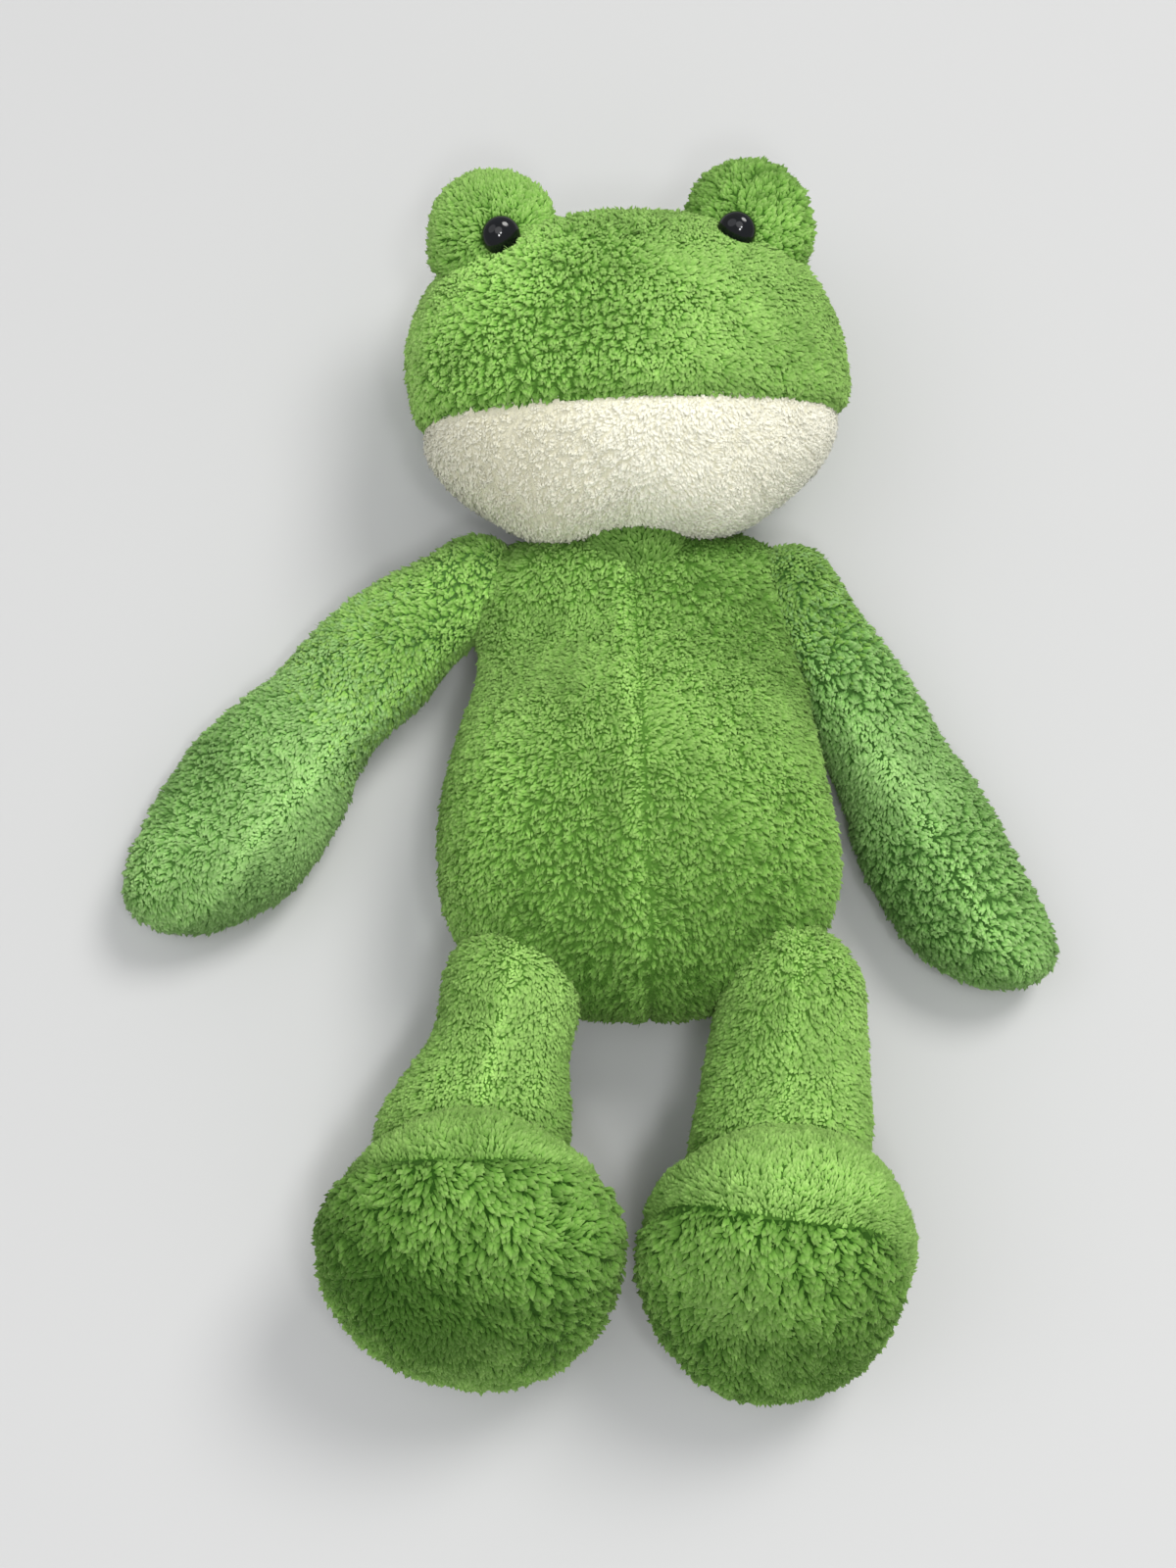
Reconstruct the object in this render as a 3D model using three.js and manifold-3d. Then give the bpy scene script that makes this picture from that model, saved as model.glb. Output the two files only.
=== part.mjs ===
// Plush frog lying on its back, with its feet apart and its arms beside it.
// The frame: +X to the right as seen from above, +Y from the feet to the head, +Z up, and the
// origin under the middle of the torso, on the surface that the toy lies on. Left is at -X.

import * as THREE from 'three';
import { mergeVertices } from 'three/addons/utils/BufferGeometryUtils.js';
import Module from 'manifold-3d';

const wasm = await Module();
wasm.setup();

// Driving dimensions, in millimetres and degrees.

// Fabric and clearances
const FABRIC = 2.5; // thickness of the fleece
const SEAM_GAP = 0.3; // between pieces that lie against each other
const SEAT_GAP = 0.6; // between a limb's round end and its seat
const FLAT = 0.5; // how much is pressed flat where the toy lies on its back

// Torso
const TORSO_LENGTH = 154;
const TORSO_LEAN = 5; // how far the shoulders lie to the left of the seat
const TORSO_BELLY_WIDTH = 124;
const TORSO_BELLY_DEPTH = 76;
const TORSO_WAIST_WIDTH = 116;
const TORSO_CHEST_WIDTH = 99;
const TORSO_CHEST_DEPTH = 54;
const TORSO_SEAT_CAP = 54; // length over which the seat rounds off
const TORSO_NECK_CAP = 26; // length over which the shoulders round off
const SIDE_SEAM_HEIGHT = 26; // where the torso's front and back panels meet

// Head
const HEAD_LENGTH = 106;
const HEAD_WIDTH = 140;
const HEAD_DEPTH = 96;
const HEAD_SEAM_HEIGHT = 34; // where the head's front and back panels meet
const MOUTH_RISE = 40; // from the bottom of the head to the mouth seam, at the sides
const MOUTH_TILT = 13; // how far the seam drops towards the front
const HEAD_TILT = 2.5; // how far the head leans to the left
const NECK_OVERLAP = 5.5; // how far the head sits down over the shoulders
const NECK_ROOM = 2.5; // between the head and the shoulders
const NECK_TURN = 20; // how far the head turns each way
const NECK_NOD = 15; // how far the head nods forwards
const NECK_RADIUS = 14;
const NECK_HEIGHT = 36;

// Eye mounds and eyes
const MOUND_WIDTH = 42;
const MOUND_LENGTH = 40;
const MOUND_DEPTH = 32;
const MOUND_INSET = 30; // from the side of the head to the middle of a mound
const MOUND_SINK = 7; // from the top of the head down to the middle of a mound
const MOUND_FORWARD = 17; // from the middle of the head to the middle of a mound
const EYE_RADIUS = 6;
const EYE_HEIGHT = 4;
const EYE_SUNK = 1; // depth of the seat that the eye presses into the fleece
const LEFT_EYE_TILT = 33; // how far the eye looks towards the feet
const RIGHT_EYE_TILT = 38;
const LEFT_EYE_TURN = 10; // how far it looks inwards
const RIGHT_EYE_TURN = 15;
const SHANK_RADIUS = 1.8;
const SHANK_LENGTH = 9;
const WASHER_RADIUS = 6.5;
const WASHER_THICKNESS = 1.6;
const WASHER_DEPTH = 7.6; // from the eye's seat to the back of the washer

// Arms
const ARM_LENGTH = 144; // from the shoulder's pivot to the tip
const ARM_ROOT_RADIUS = 15.5;
const LEFT_ARM_ELBOW_WIDTH = 41; // lies flat
const LEFT_ARM_MITT_WIDTH = 53;
const LEFT_ARM_TIP_WIDTH = 46;
const RIGHT_ARM_ELBOW_WIDTH = 37; // lies turned on its edge a little
const RIGHT_ARM_MITT_WIDTH = 47;
const RIGHT_ARM_TIP_WIDTH = 41;
const ARM_DEPTH = 32;
const ARM_TIP_CAP = 24; // length over which the tip rounds off
const ARM_TIP_SLANT = 0.4; // how much further the tip reaches at its outer side, as a share of its width
const ARM_FALL = 86; // length over which the arm comes down to the surface
const ARM_SEAM_TILT = 40; // how far the arm's seam is turned up from flat
const SHOULDER_OUTSET = 0.5; // from the side of the chest out to the pivot
const SHOULDER_DROP = 14; // from the top of the torso to the pivot
const SHOULDER_HEIGHT = 27;
const LEFT_ARM_HEADING = 60; // from straight down the body, at the shoulder
const LEFT_ARM_BEND = 41; // how far the arm turns back inwards on its way
const RIGHT_ARM_HEADING = 29;
const RIGHT_ARM_BEND = 1;
const ARM_LIFT = 60; // how far an arm lifts off the surface
const ARM_LIFT_SLANT = 0.3; // how far the lift's axis slants, as a rise per length
const ARM_LIFT_STEPS = 6;
const ARM_ROOM = 3; // between a lifting arm and the chest, beyond its root
const ARM_ROOT_PLACES = 2; // of its widths and depths, those that belong to its root

// Legs and feet
const LEG_LENGTH = 52.5; // from the hip's pivot to the ankle's
const LEG_ROOT_RADIUS = 22.5;
const LEG_ANKLE_RADIUS = 25;
const LEG_CALF_WIDTH = 50;
const HIP_INSET = 20; // from the side of the belly to the pivot
const HIP_RISE = 4; // from the seat to the pivot
const HIP_SETBACK = 30; // from the front of the belly to the pivot
const LEFT_LEG_SPLAY = 10.7; // how much further out the ankle lies than the hip
const RIGHT_LEG_SPLAY = -5.5;
const LEG_LIFT = 40; // how far a leg lifts off the surface
const LEFT_FOOT_WIDTH = 91; // lies flatter than the right one
const RIGHT_FOOT_WIDTH = 84;
const FOOT_LENGTH = 102; // from heel to toe
const FOOT_THICKNESS = 60; // from instep to sole
const FOOT_TILT = 34; // how far the toes lean back towards the body
const LEFT_SOLE_SEAM_RISE = 4; // from the middle of the foot to the sole's seam
const RIGHT_SOLE_SEAM_RISE = 14.5;
const LEFT_SOLE_SEAM_RADIUS = 60; // the seam dips in a round curve to the sides of the foot
const RIGHT_SOLE_SEAM_RADIUS = 47;
const ANKLE_SETBACK = 27; // from the middle of the foot back to the ankle's pivot
const ANKLE_RISE = 5; // from the middle of the foot towards the toes
const ANKLE_FLEX = 12; // how far the foot flexes each way

// Wads of stuffing that the limbs bend on
const SHOULDER_WAD_RADIUS = 8;
const HIP_WAD_RADIUS = 11;
const WAD_OPENING_RADIUS = 5;

// Colours
const GREEN = '#5fa537';
const CREAM = '#e6e0cc';
const WHITE = '#f2f0ea';
const BLACK = '#14181d';
const NATURAL = '#d9d9d6';

// Facets: sides and rings of a form's outer skin
const SKIN_SIDES = 20;
const CAP_RINGS = 4;
const MIDDLE_RINGS = 4;
const BALL_SIDES = 16;
const INSIDE_DETAIL = 0.6; // of a form's inside, as a share of its outside
const LIMB_DETAIL = 0.8;
const SEAM_SEGMENTS = 56; // round a cutter for a curved seam
const CUTTER_SIZE = 600; // larger than the toy
const ROUND = 2; // power of an elliptical end
const FULL = 2.5; // power of a fuller, more square end
const CHIN_FULLNESS = 2.2; // power of the chin's end
const WELD = 1e-4; // points closer than this are one point
const EYE_STEPS = 5; // along an eye's domed profile
const ARM_STEPS = 8; // along an arm's spine

const UP = new THREE.Vector3(0, 0, 1);
const radians = THREE.MathUtils.degToRad;

// Solids and meshes

function solid(geometry) {
  const bare = geometry.clone();
  bare.deleteAttribute('normal');
  bare.deleteAttribute('uv');
  const merged = mergeVertices(bare, WELD);
  return new wasm.Manifold(new wasm.Mesh({
    numProp: 3,
    vertProperties: new Float32Array(merged.attributes.position.array),
    triVerts: new Uint32Array(merged.index.array),
  }));
}

// A cut can leave slivers, so a piece is the largest body of its shape
function piece(name, shape, material) {
  const bodies = shape.decompose();
  const whole = bodies.reduce((a, b) => (a.volume() > b.volume() ? a : b));
  const { vertProperties, triVerts } = whole.getMesh();
  const geometry = new THREE.BufferGeometry();
  geometry.setAttribute('position', new THREE.BufferAttribute(vertProperties, 3));
  geometry.setIndex(new THREE.BufferAttribute(triVerts, 1));
  geometry.computeVertexNormals();
  const mesh = new THREE.Mesh(geometry, material);
  mesh.name = name;
  return mesh;
}

function fleece(color) {
  return new THREE.MeshStandardMaterial({ color, roughness: 0.95, metalness: 0 });
}

function filling() {
  return new THREE.MeshStandardMaterial({ color: WHITE, roughness: 1, metalness: 0 });
}

function plastic(color, roughness) {
  return new THREE.MeshStandardMaterial({ color, roughness, metalness: 0 });
}

function ball(centre, radius) {
  const geometry = new THREE.SphereGeometry(radius, BALL_SIDES, BALL_SIDES / 2);
  return solid(geometry.translate(centre.x, centre.y, centre.z));
}

// A faceted hollow that holds a whole sphere of the given radius
function seat(centre, radius) {
  return ball(centre, radius / Math.cos(Math.PI / BALL_SIDES) ** 2);
}

// A round bar from a point along a direction
function bar(from, direction, radius, length, farRadius = radius) {
  const outside = 1 / Math.cos(Math.PI / BALL_SIDES);
  const geometry = new THREE.CylinderGeometry(farRadius * outside, radius * outside, length, BALL_SIDES);
  geometry.translate(0, length / 2, 0);
  return solid(placed(geometry, from, direction));
}

// A turned shape whose own +Y goes along a direction
function placed(geometry, at, direction) {
  const turn = new THREE.Quaternion().setFromUnitVectors(new THREE.Vector3(0, 1, 0), direction);
  return geometry.applyQuaternion(turn).translate(at.x, at.y, at.z);
}

// Everything on the side of a plane that its normal points to, half a seam away from it
function sideOf(point, normal) {
  const geometry = new THREE.BoxGeometry(CUTTER_SIZE, CUTTER_SIZE, CUTTER_SIZE);
  geometry.translate(0, CUTTER_SIZE / 2 + SEAM_GAP / 2, 0);
  return solid(placed(geometry, point, normal));
}

function aboveFloor() {
  const geometry = new THREE.BoxGeometry(CUTTER_SIZE, CUTTER_SIZE, CUTTER_SIZE);
  return solid(geometry.translate(0, 0, CUTTER_SIZE / 2));
}

// Stuffed forms
// A form follows a spine. It has half widths and half depths spread evenly along it, and each end
// rounds off over its own cap. An inset form lies that far inside the form itself.

function swell(values, t) {
  const points = values.map((value, i) => new THREE.Vector2(i, value));
  return new THREE.SplineCurve(points).getPoint(t).y;
}

function capped(share, power) {
  return (1 - share ** power) ** (1 / power);
}

// The distances along a form at which it has rings, without its two end points
function ringStations(length, startCap, endCap, finer) {
  const capRings = Math.round(CAP_RINGS * finer);
  const middleRings = Math.round(MIDDLE_RINGS * finer);
  const stations = [];
  for (let i = 1; i <= capRings; i++) {
    stations.push(startCap * (1 - Math.cos((i / capRings) * Math.PI / 2)));
  }
  const middle = length - startCap - endCap;
  for (let i = 1; i < middleRings && middle > SEAM_GAP; i++) {
    stations.push(startCap + (middle * i) / middleRings);
  }
  for (let i = middle > SEAM_GAP ? 0 : 1; i < capRings; i++) {
    stations.push(length - endCap * (1 - Math.sin((i / capRings) * Math.PI / 2)));
  }
  return stations;
}

function formGeometry(form, inset, finer) {
  const { spine, widths, depths, startPower = ROUND, endPower = ROUND, endSlant = 0, front = UP } = form;
  const whole = spine.getLength();
  const length = whole - 2 * inset;
  const startCap = form.startCap - inset;
  const endCap = form.endCap - inset;
  const sides = Math.round(SKIN_SIDES * finer);
  const positions = [];
  for (const station of ringStations(length, startCap, endCap, finer)) {
    const t = THREE.MathUtils.clamp((station + inset) / whole, 0, 1);
    const centre = spine.getPointAt(t);
    const along = spine.getTangentAt(t);
    const across = new THREE.Vector3().crossVectors(front, along).normalize();
    const outward = new THREE.Vector3().crossVectors(along, across);
    const startShare = Math.max(0, 1 - station / startCap);
    const endShare = Math.max(0, 1 - (length - station) / endCap);
    const round = capped(startShare, startPower) * capped(endShare, endPower);
    const halfWidth = (swell(widths, t) - inset) * round;
    const halfDepth = (swell(depths, t) - inset) * round;
    const slant = endSlant * THREE.MathUtils.smoothstep(station, length - 2 * endCap, length);
    for (let i = 0; i < sides; i++) {
      const angle = (2 * Math.PI * i) / sides;
      const point = centre.clone();
      point.addScaledVector(across, halfWidth * Math.cos(angle));
      point.addScaledVector(along, slant * halfWidth * Math.cos(angle));
      point.addScaledVector(outward, halfDepth * Math.sin(angle));
      positions.push(point);
    }
  }
  const first = spine.getPointAt(0).addScaledVector(spine.getTangentAt(0), inset);
  const last = spine.getPointAt(1).addScaledVector(spine.getTangentAt(1), -inset);
  return closedLoft(positions, sides, first, last);
}

function closedLoft(points, sides, first, last) {
  const rings = points.length / sides;
  const index = [];
  for (let i = 0; i < sides; i++) {
    const next = (i + 1) % sides;
    index.push(next, i, points.length);
    for (let ring = 0; ring + 1 < rings; ring++) {
      const low = ring * sides;
      const high = low + sides;
      index.push(low + i, low + next, high + next, low + i, high + next, high + i);
    }
    const top = (rings - 1) * sides;
    index.push(top + i, top + next, points.length + 1);
  }
  const geometry = new THREE.BufferGeometry().setFromPoints([...points, first, last]);
  geometry.setIndex(index);
  return geometry;
}

// A form's fabric, still in one piece, and the stuffing inside it
function stuffed(form) {
  const outer = solid(formGeometry(form, 0, form.detail ?? 1));
  const inner = solid(formGeometry(form, FABRIC, INSIDE_DETAIL));
  const skin = outer.subtract(inner).intersect(aboveFloor());
  const stuffing = solid(formGeometry(form, FABRIC + SEAM_GAP, INSIDE_DETAIL));
  return { outer, skin, stuffing };
}

function cut(parts, cutters) {
  let { skin, stuffing } = parts;
  for (const cutter of cutters) {
    skin = skin.subtract(cutter);
    stuffing = stuffing.subtract(cutter);
  }
  return { ...parts, skin, stuffing };
}

// A form grown by a clearance, to cut a neighbour with
function grown(form, clearance) {
  return solid(formGeometry(form, -clearance, form.detail ?? 1));
}

function straight(from, to) {
  return new THREE.LineCurve3(from, to);
}

// Torso

const torsoTop = TORSO_LENGTH / 2;
const bellyHalf = TORSO_BELLY_DEPTH / 2;
const chestHalf = TORSO_CHEST_DEPTH / 2;
const torsoForm = {
  spine: new THREE.CatmullRomCurve3([
    torsoMiddle(-torsoTop, bellyHalf - FLAT),
    torsoMiddle(-torsoTop + TORSO_SEAT_CAP, bellyHalf - FLAT),
    torsoMiddle(torsoTop - TORSO_NECK_CAP, chestHalf - FLAT),
    torsoMiddle(torsoTop, chestHalf - FLAT),
  ]),
  widths: [bellyHalfWidth(), bellyHalfWidth(), TORSO_WAIST_WIDTH / 2, chestHalfWidth(), chestHalfWidth()],
  depths: [bellyHalf, bellyHalf, bellyHalf, chestHalf, chestHalf],
  startCap: TORSO_SEAT_CAP,
  endCap: TORSO_NECK_CAP,
  startPower: FULL,
  endPower: FULL,
};

// A point on the leaning middle of the torso
function torsoMiddle(y, z) {
  return new THREE.Vector3((-TORSO_LEAN * y) / TORSO_LENGTH, y, z);
}

function bellyHalfWidth() {
  return TORSO_BELLY_WIDTH / 2;
}

function chestHalfWidth() {
  return TORSO_CHEST_WIDTH / 2;
}

const headBottom = torsoTop - NECK_OVERLAP;
const neckPivot = torsoMiddle(headBottom, NECK_HEIGHT);

function shoulderPivot(side) {
  const pivot = torsoMiddle(torsoTop - SHOULDER_DROP, SHOULDER_HEIGHT);
  pivot.x += side * (chestHalfWidth() + SHOULDER_OUTSET);
  return pivot;
}

function hipPivot(side) {
  const pivot = torsoMiddle(-torsoTop + HIP_RISE, TORSO_BELLY_DEPTH - HIP_SETBACK);
  pivot.x += side * (bellyHalfWidth() - HIP_INSET);
  return pivot;
}

function torso() {
  const seats = [seat(neckPivot, NECK_RADIUS + SEAM_GAP)];
  for (const nod of [0, NECK_NOD]) {
    seats.push(movedHead(nod, -NECK_TURN), movedHead(nod, 0), movedHead(nod, NECK_TURN));
  }
  for (const side of [-1, 1]) {
    seats.push(...armSeats(side), ...legSeats(side));
  }
  const { skin, stuffing } = cut(stuffed(torsoForm), seats);
  const sideSeam = new THREE.Vector3(0, 0, SIDE_SEAM_HEIGHT);
  const middle = torsoMiddle(0, 0);
  const towardsRight = new THREE.Vector3(TORSO_LENGTH, TORSO_LEAN, 0).normalize();
  const front = skin.intersect(sideOf(sideSeam, UP));
  const back = skin.intersect(sideOf(sideSeam, UP.clone().negate()));
  const left = front.intersect(sideOf(middle, towardsRight.clone().negate()));
  const right = front.intersect(sideOf(middle, towardsRight));
  return [
    piece('torso_front_left', left, fleece(GREEN)),
    piece('torso_front_right', right, fleece(GREEN)),
    piece('torso_back', back, fleece(GREEN)),
    piece('torso_stuffing', stuffing, filling()),
    piece('neck_wad', ball(neckPivot, NECK_RADIUS), filling()),
  ];
}

// Head, eye mounds and eyes

const headHalfDepth = HEAD_DEPTH / 2;
const headForm = {
  spine: straight(
    new THREE.Vector3(neckPivot.x, headBottom, headHalfDepth - FLAT),
    new THREE.Vector3(neckPivot.x, headBottom + HEAD_LENGTH, headHalfDepth - FLAT),
  ),
  widths: [HEAD_WIDTH / 2, HEAD_WIDTH / 2],
  depths: [headHalfDepth, headHalfDepth],
  startCap: HEAD_LENGTH / 2,
  endCap: HEAD_LENGTH / 2,
  startPower: CHIN_FULLNESS,
  endPower: FULL,
};

// The head as it stands to the torso when it nods and turns, a little larger
function movedHead(nod, turn) {
  const geometry = formGeometry(headForm, -NECK_ROOM, LIMB_DETAIL);
  geometry.translate(-neckPivot.x, -neckPivot.y, -neckPivot.z);
  geometry.rotateZ(radians(HEAD_TILT));
  geometry.rotateX(radians(nod));
  geometry.rotateY(radians(turn));
  return solid(geometry.translate(neckPivot.x, neckPivot.y, neckPivot.z));
}

function moundForm(side) {
  const x = neckPivot.x + side * (HEAD_WIDTH / 2 - MOUND_INSET);
  const y = headBottom + HEAD_LENGTH - MOUND_SINK;
  const z = headHalfDepth - FLAT + MOUND_FORWARD;
  return {
    spine: straight(
      new THREE.Vector3(x, y - MOUND_LENGTH / 2, z),
      new THREE.Vector3(x, y + MOUND_LENGTH / 2, z),
    ),
    widths: [MOUND_WIDTH / 2, MOUND_WIDTH / 2],
    depths: [MOUND_DEPTH / 2, MOUND_DEPTH / 2],
    startCap: MOUND_LENGTH / 2,
    endCap: MOUND_LENGTH / 2,
    detail: LIMB_DETAIL,
  };
}

// The eye's place on the front of its mound, and the direction that it looks in
function eyePlace(form) {
  const middle = form.spine.getPointAt(0.5);
  const side = Math.sign(middle.x - neckPivot.x);
  const tilt = radians(side < 0 ? LEFT_EYE_TILT : RIGHT_EYE_TILT);
  const turn = -side * Math.tan(radians(side < 0 ? LEFT_EYE_TURN : RIGHT_EYE_TURN));
  const looks = new THREE.Vector3(turn, -Math.sin(tilt), Math.cos(tilt)).normalize();
  const reach = 1 / Math.hypot(looks.x / form.widths[0], looks.y / form.startCap, looks.z / form.depths[0]);
  return { at: middle.addScaledVector(looks, reach - EYE_SUNK), looks };
}

function eyeShape(place) {
  const profile = [
    new THREE.Vector2(0, -SHANK_LENGTH),
    new THREE.Vector2(SHANK_RADIUS, -SHANK_LENGTH),
    new THREE.Vector2(SHANK_RADIUS, 0),
    new THREE.Vector2(EYE_RADIUS, 0),
  ];
  for (let i = 1; i < EYE_STEPS; i++) {
    const angle = (i / EYE_STEPS) * Math.PI / 2;
    profile.push(new THREE.Vector2(EYE_RADIUS * Math.cos(angle), EYE_HEIGHT * Math.sin(angle)));
  }
  profile.push(new THREE.Vector2(0, EYE_HEIGHT));
  const geometry = new THREE.LatheGeometry(profile, BALL_SIDES / 2);
  return solid(placed(geometry, place.at.clone().addScaledVector(place.looks, SEAM_GAP), place.looks));
}

function washerShape(place) {
  const hole = SHANK_RADIUS + SEAM_GAP;
  const profile = [
    new THREE.Vector2(hole, 0),
    new THREE.Vector2(WASHER_RADIUS, 0),
    new THREE.Vector2(WASHER_RADIUS, WASHER_THICKNESS),
    new THREE.Vector2(hole, WASHER_THICKNESS),
    new THREE.Vector2(hole, 0),
  ];
  const geometry = new THREE.LatheGeometry(profile, BALL_SIDES / 2);
  return solid(placed(geometry, place.at.clone().addScaledVector(place.looks, -WASHER_DEPTH), place.looks));
}

// Room for an eye, its shank and its washer
function eyeRoom(place) {
  const behind = place.looks.clone().negate();
  const pocket = bar(place.at, place.looks, EYE_RADIUS + SEAM_GAP, EYE_HEIGHT + FABRIC);
  const hole = bar(place.at, behind, SHANK_RADIUS + SEAM_GAP, SHANK_LENGTH);
  return pocket.add(hole);
}

function washerRoom(place) {
  const behind = place.looks.clone().negate();
  return bar(place.at, behind, WASHER_RADIUS + SEAM_GAP, SHANK_LENGTH);
}

function head() {
  const rooms = [seat(neckPivot, NECK_RADIUS + SEAM_GAP)];
  const eyes = [];
  const headGrown = grown(headForm, SEAM_GAP);
  for (const side of [-1, 1]) {
    const name = side < 0 ? 'left' : 'right';
    const form = moundForm(side);
    const place = eyePlace(form);
    rooms.push(eyeRoom(place), washerRoom(place));
    const cover = cut(stuffed(form), [headGrown, eyeRoom(place)]);
    const rim = form.spine.getPointAt(0.5);
    const front = cover.skin.intersect(sideOf(rim, UP));
    const back = cover.skin.intersect(sideOf(rim, UP.clone().negate()));
    eyes.push(
      piece(`${name}_mound_front`, front, fleece(GREEN)),
      piece(`${name}_mound_back`, back, fleece(GREEN)),
      piece(`${name}_mound_stuffing`, cover.stuffing.subtract(washerRoom(place)), filling()),
      piece(`${name}_eye`, eyeShape(place), plastic(BLACK, 0.08)),
      piece(`${name}_eye_washer`, washerShape(place), plastic(NATURAL, 0.5)),
    );
  }
  const { skin, stuffing } = cut(stuffed(headForm), rooms);
  const backSeam = new THREE.Vector3(0, 0, HEAD_SEAM_HEIGHT);
  const mouth = new THREE.Vector3(0, headBottom + MOUTH_RISE, headHalfDepth);
  const mouthTilt = radians(MOUTH_TILT);
  const towardsTop = new THREE.Vector3(0, Math.cos(mouthTilt), Math.sin(mouthTilt));
  const front = skin.intersect(sideOf(backSeam, UP));
  const back = skin.intersect(sideOf(backSeam, UP.clone().negate()));
  return [
    piece('head_crown', front.intersect(sideOf(mouth, towardsTop)), fleece(GREEN)),
    piece('head_chin', front.intersect(sideOf(mouth, towardsTop.clone().negate())), fleece(CREAM)),
    piece('head_back', back, fleece(GREEN)),
    piece('head_stuffing', stuffing, filling()),
    ...eyes,
  ];
}

// Arms

// The arm's spine starts behind the pivot, where its round root begins, and curves to the tip
function armForm(side) {
  const heading = side < 0 ? LEFT_ARM_HEADING : RIGHT_ARM_HEADING;
  const bend = side < 0 ? LEFT_ARM_BEND : RIGHT_ARM_BEND;
  const elbowWidth = side < 0 ? LEFT_ARM_ELBOW_WIDTH : RIGHT_ARM_ELBOW_WIDTH;
  const mittWidth = side < 0 ? LEFT_ARM_MITT_WIDTH : RIGHT_ARM_MITT_WIDTH;
  const tipWidth = side < 0 ? LEFT_ARM_TIP_WIDTH : RIGHT_ARM_TIP_WIDTH;
  const pivot = shoulderPivot(side);
  const restHeight = ARM_DEPTH / 2 - FLAT;
  const along = (angle) => new THREE.Vector3(side * Math.sin(angle), -Math.cos(angle), 0);
  const points = [pivot.clone().addScaledVector(along(radians(heading)), -ARM_ROOT_RADIUS), pivot];
  for (let i = 1; i <= ARM_STEPS; i++) {
    const angle = radians(heading - (bend * (i - 0.5)) / ARM_STEPS);
    const point = points.at(-1).clone().addScaledVector(along(angle), ARM_LENGTH / ARM_STEPS);
    const fall = THREE.MathUtils.smoothstep((i * ARM_LENGTH) / ARM_STEPS, 0, ARM_FALL);
    point.z = THREE.MathUtils.lerp(SHOULDER_HEIGHT, restHeight, fall);
    points.push(point);
  }
  return {
    spine: new THREE.CatmullRomCurve3(points),
    widths: [
      ARM_ROOT_RADIUS, ARM_ROOT_RADIUS, elbowWidth / 2, elbowWidth / 2,
      mittWidth / 2, mittWidth / 2, tipWidth / 2,
    ],
    depths: [ARM_ROOT_RADIUS, ARM_ROOT_RADIUS, ARM_DEPTH / 2, ARM_DEPTH / 2],
    startCap: ARM_ROOT_RADIUS,
    endCap: ARM_TIP_CAP,
    endPower: FULL,
    endSlant: side * ARM_TIP_SLANT,
    detail: LIMB_DETAIL,
  };
}

// A wad at a limb's root, and the room for it, which opens towards the torso
function wadRoom(pivot, radius, behind, rootRadius) {
  const room = seat(pivot, radius + SEAM_GAP);
  return room.add(bar(pivot, behind, WAD_OPENING_RADIUS, rootRadius + SEAT_GAP));
}

// The hollows in the torso for an arm's round root, and for the arm beside the chest as it lifts
function armSeats(side) {
  const pivot = shoulderPivot(side);
  const axis = new THREE.Vector3(-1, side * ARM_LIFT_SLANT, 0).normalize();
  const form = armForm(side);
  const roomier = (half, i) => (i < ARM_ROOT_PLACES ? half : half + ARM_ROOM);
  const roomy = { ...form, widths: form.widths.map(roomier), depths: form.depths.map(roomier) };
  const beside = [];
  for (let step = 0; step <= ARM_LIFT_STEPS; step++) {
    const geometry = formGeometry(roomy, -SEAT_GAP, INSIDE_DETAIL);
    const turn = new THREE.Quaternion().setFromAxisAngle(axis, radians((ARM_LIFT * step) / ARM_LIFT_STEPS));
    geometry.translate(-pivot.x, -pivot.y, -pivot.z).applyQuaternion(turn);
    beside.push(solid(geometry.translate(pivot.x, pivot.y, pivot.z)));
  }
  return [seat(pivot, ARM_ROOT_RADIUS + SEAT_GAP), ...beside];
}

function arm(side) {
  const name = side < 0 ? 'left' : 'right';
  const pivot = shoulderPivot(side);
  const form = armForm(side);
  const behind = form.spine.getTangentAt(0).negate();
  const room = wadRoom(pivot, SHOULDER_WAD_RADIUS, behind, ARM_ROOT_RADIUS);
  const { skin, stuffing } = cut(stuffed(form), [room]);
  const chord = form.spine.getPointAt(1).sub(pivot).setZ(0).normalize();
  const outward = new THREE.Vector3().crossVectors(UP, chord).multiplyScalar(side);
  const tilt = radians(ARM_SEAM_TILT);
  const facing = outward.multiplyScalar(Math.cos(tilt)).addScaledVector(UP, Math.sin(tilt));
  return [
    piece(`${name}_arm_outer`, skin.intersect(sideOf(pivot, facing)), fleece(GREEN)),
    piece(`${name}_arm_inner`, skin.intersect(sideOf(pivot, facing.clone().negate())), fleece(GREEN)),
    piece(`${name}_arm_stuffing`, stuffing, filling()),
    piece(`${name}_shoulder_wad`, ball(pivot, SHOULDER_WAD_RADIUS), filling()),
  ];
}

// Legs and feet

const toes = new THREE.Vector3(0, Math.sin(radians(FOOT_TILT)), Math.cos(radians(FOOT_TILT)));
const sole = new THREE.Vector3(0, -toes.z, toes.y);

// The foot rests on its heel, which sets how high the ankle is
function footHeight() {
  return Math.hypot(toes.z * FOOT_LENGTH, sole.z * FOOT_THICKNESS) / 2 - FLAT;
}

function anklePivot(side) {
  const hip = hipPivot(side);
  const height = footHeight() - sole.z * ANKLE_SETBACK + toes.z * ANKLE_RISE;
  const drop = hip.z - height;
  const splay = side < 0 ? LEFT_LEG_SPLAY : RIGHT_LEG_SPLAY;
  const reach = Math.sqrt(LEG_LENGTH ** 2 - drop ** 2 - splay ** 2);
  return new THREE.Vector3(hip.x + side * splay, hip.y - reach, height);
}

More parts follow.
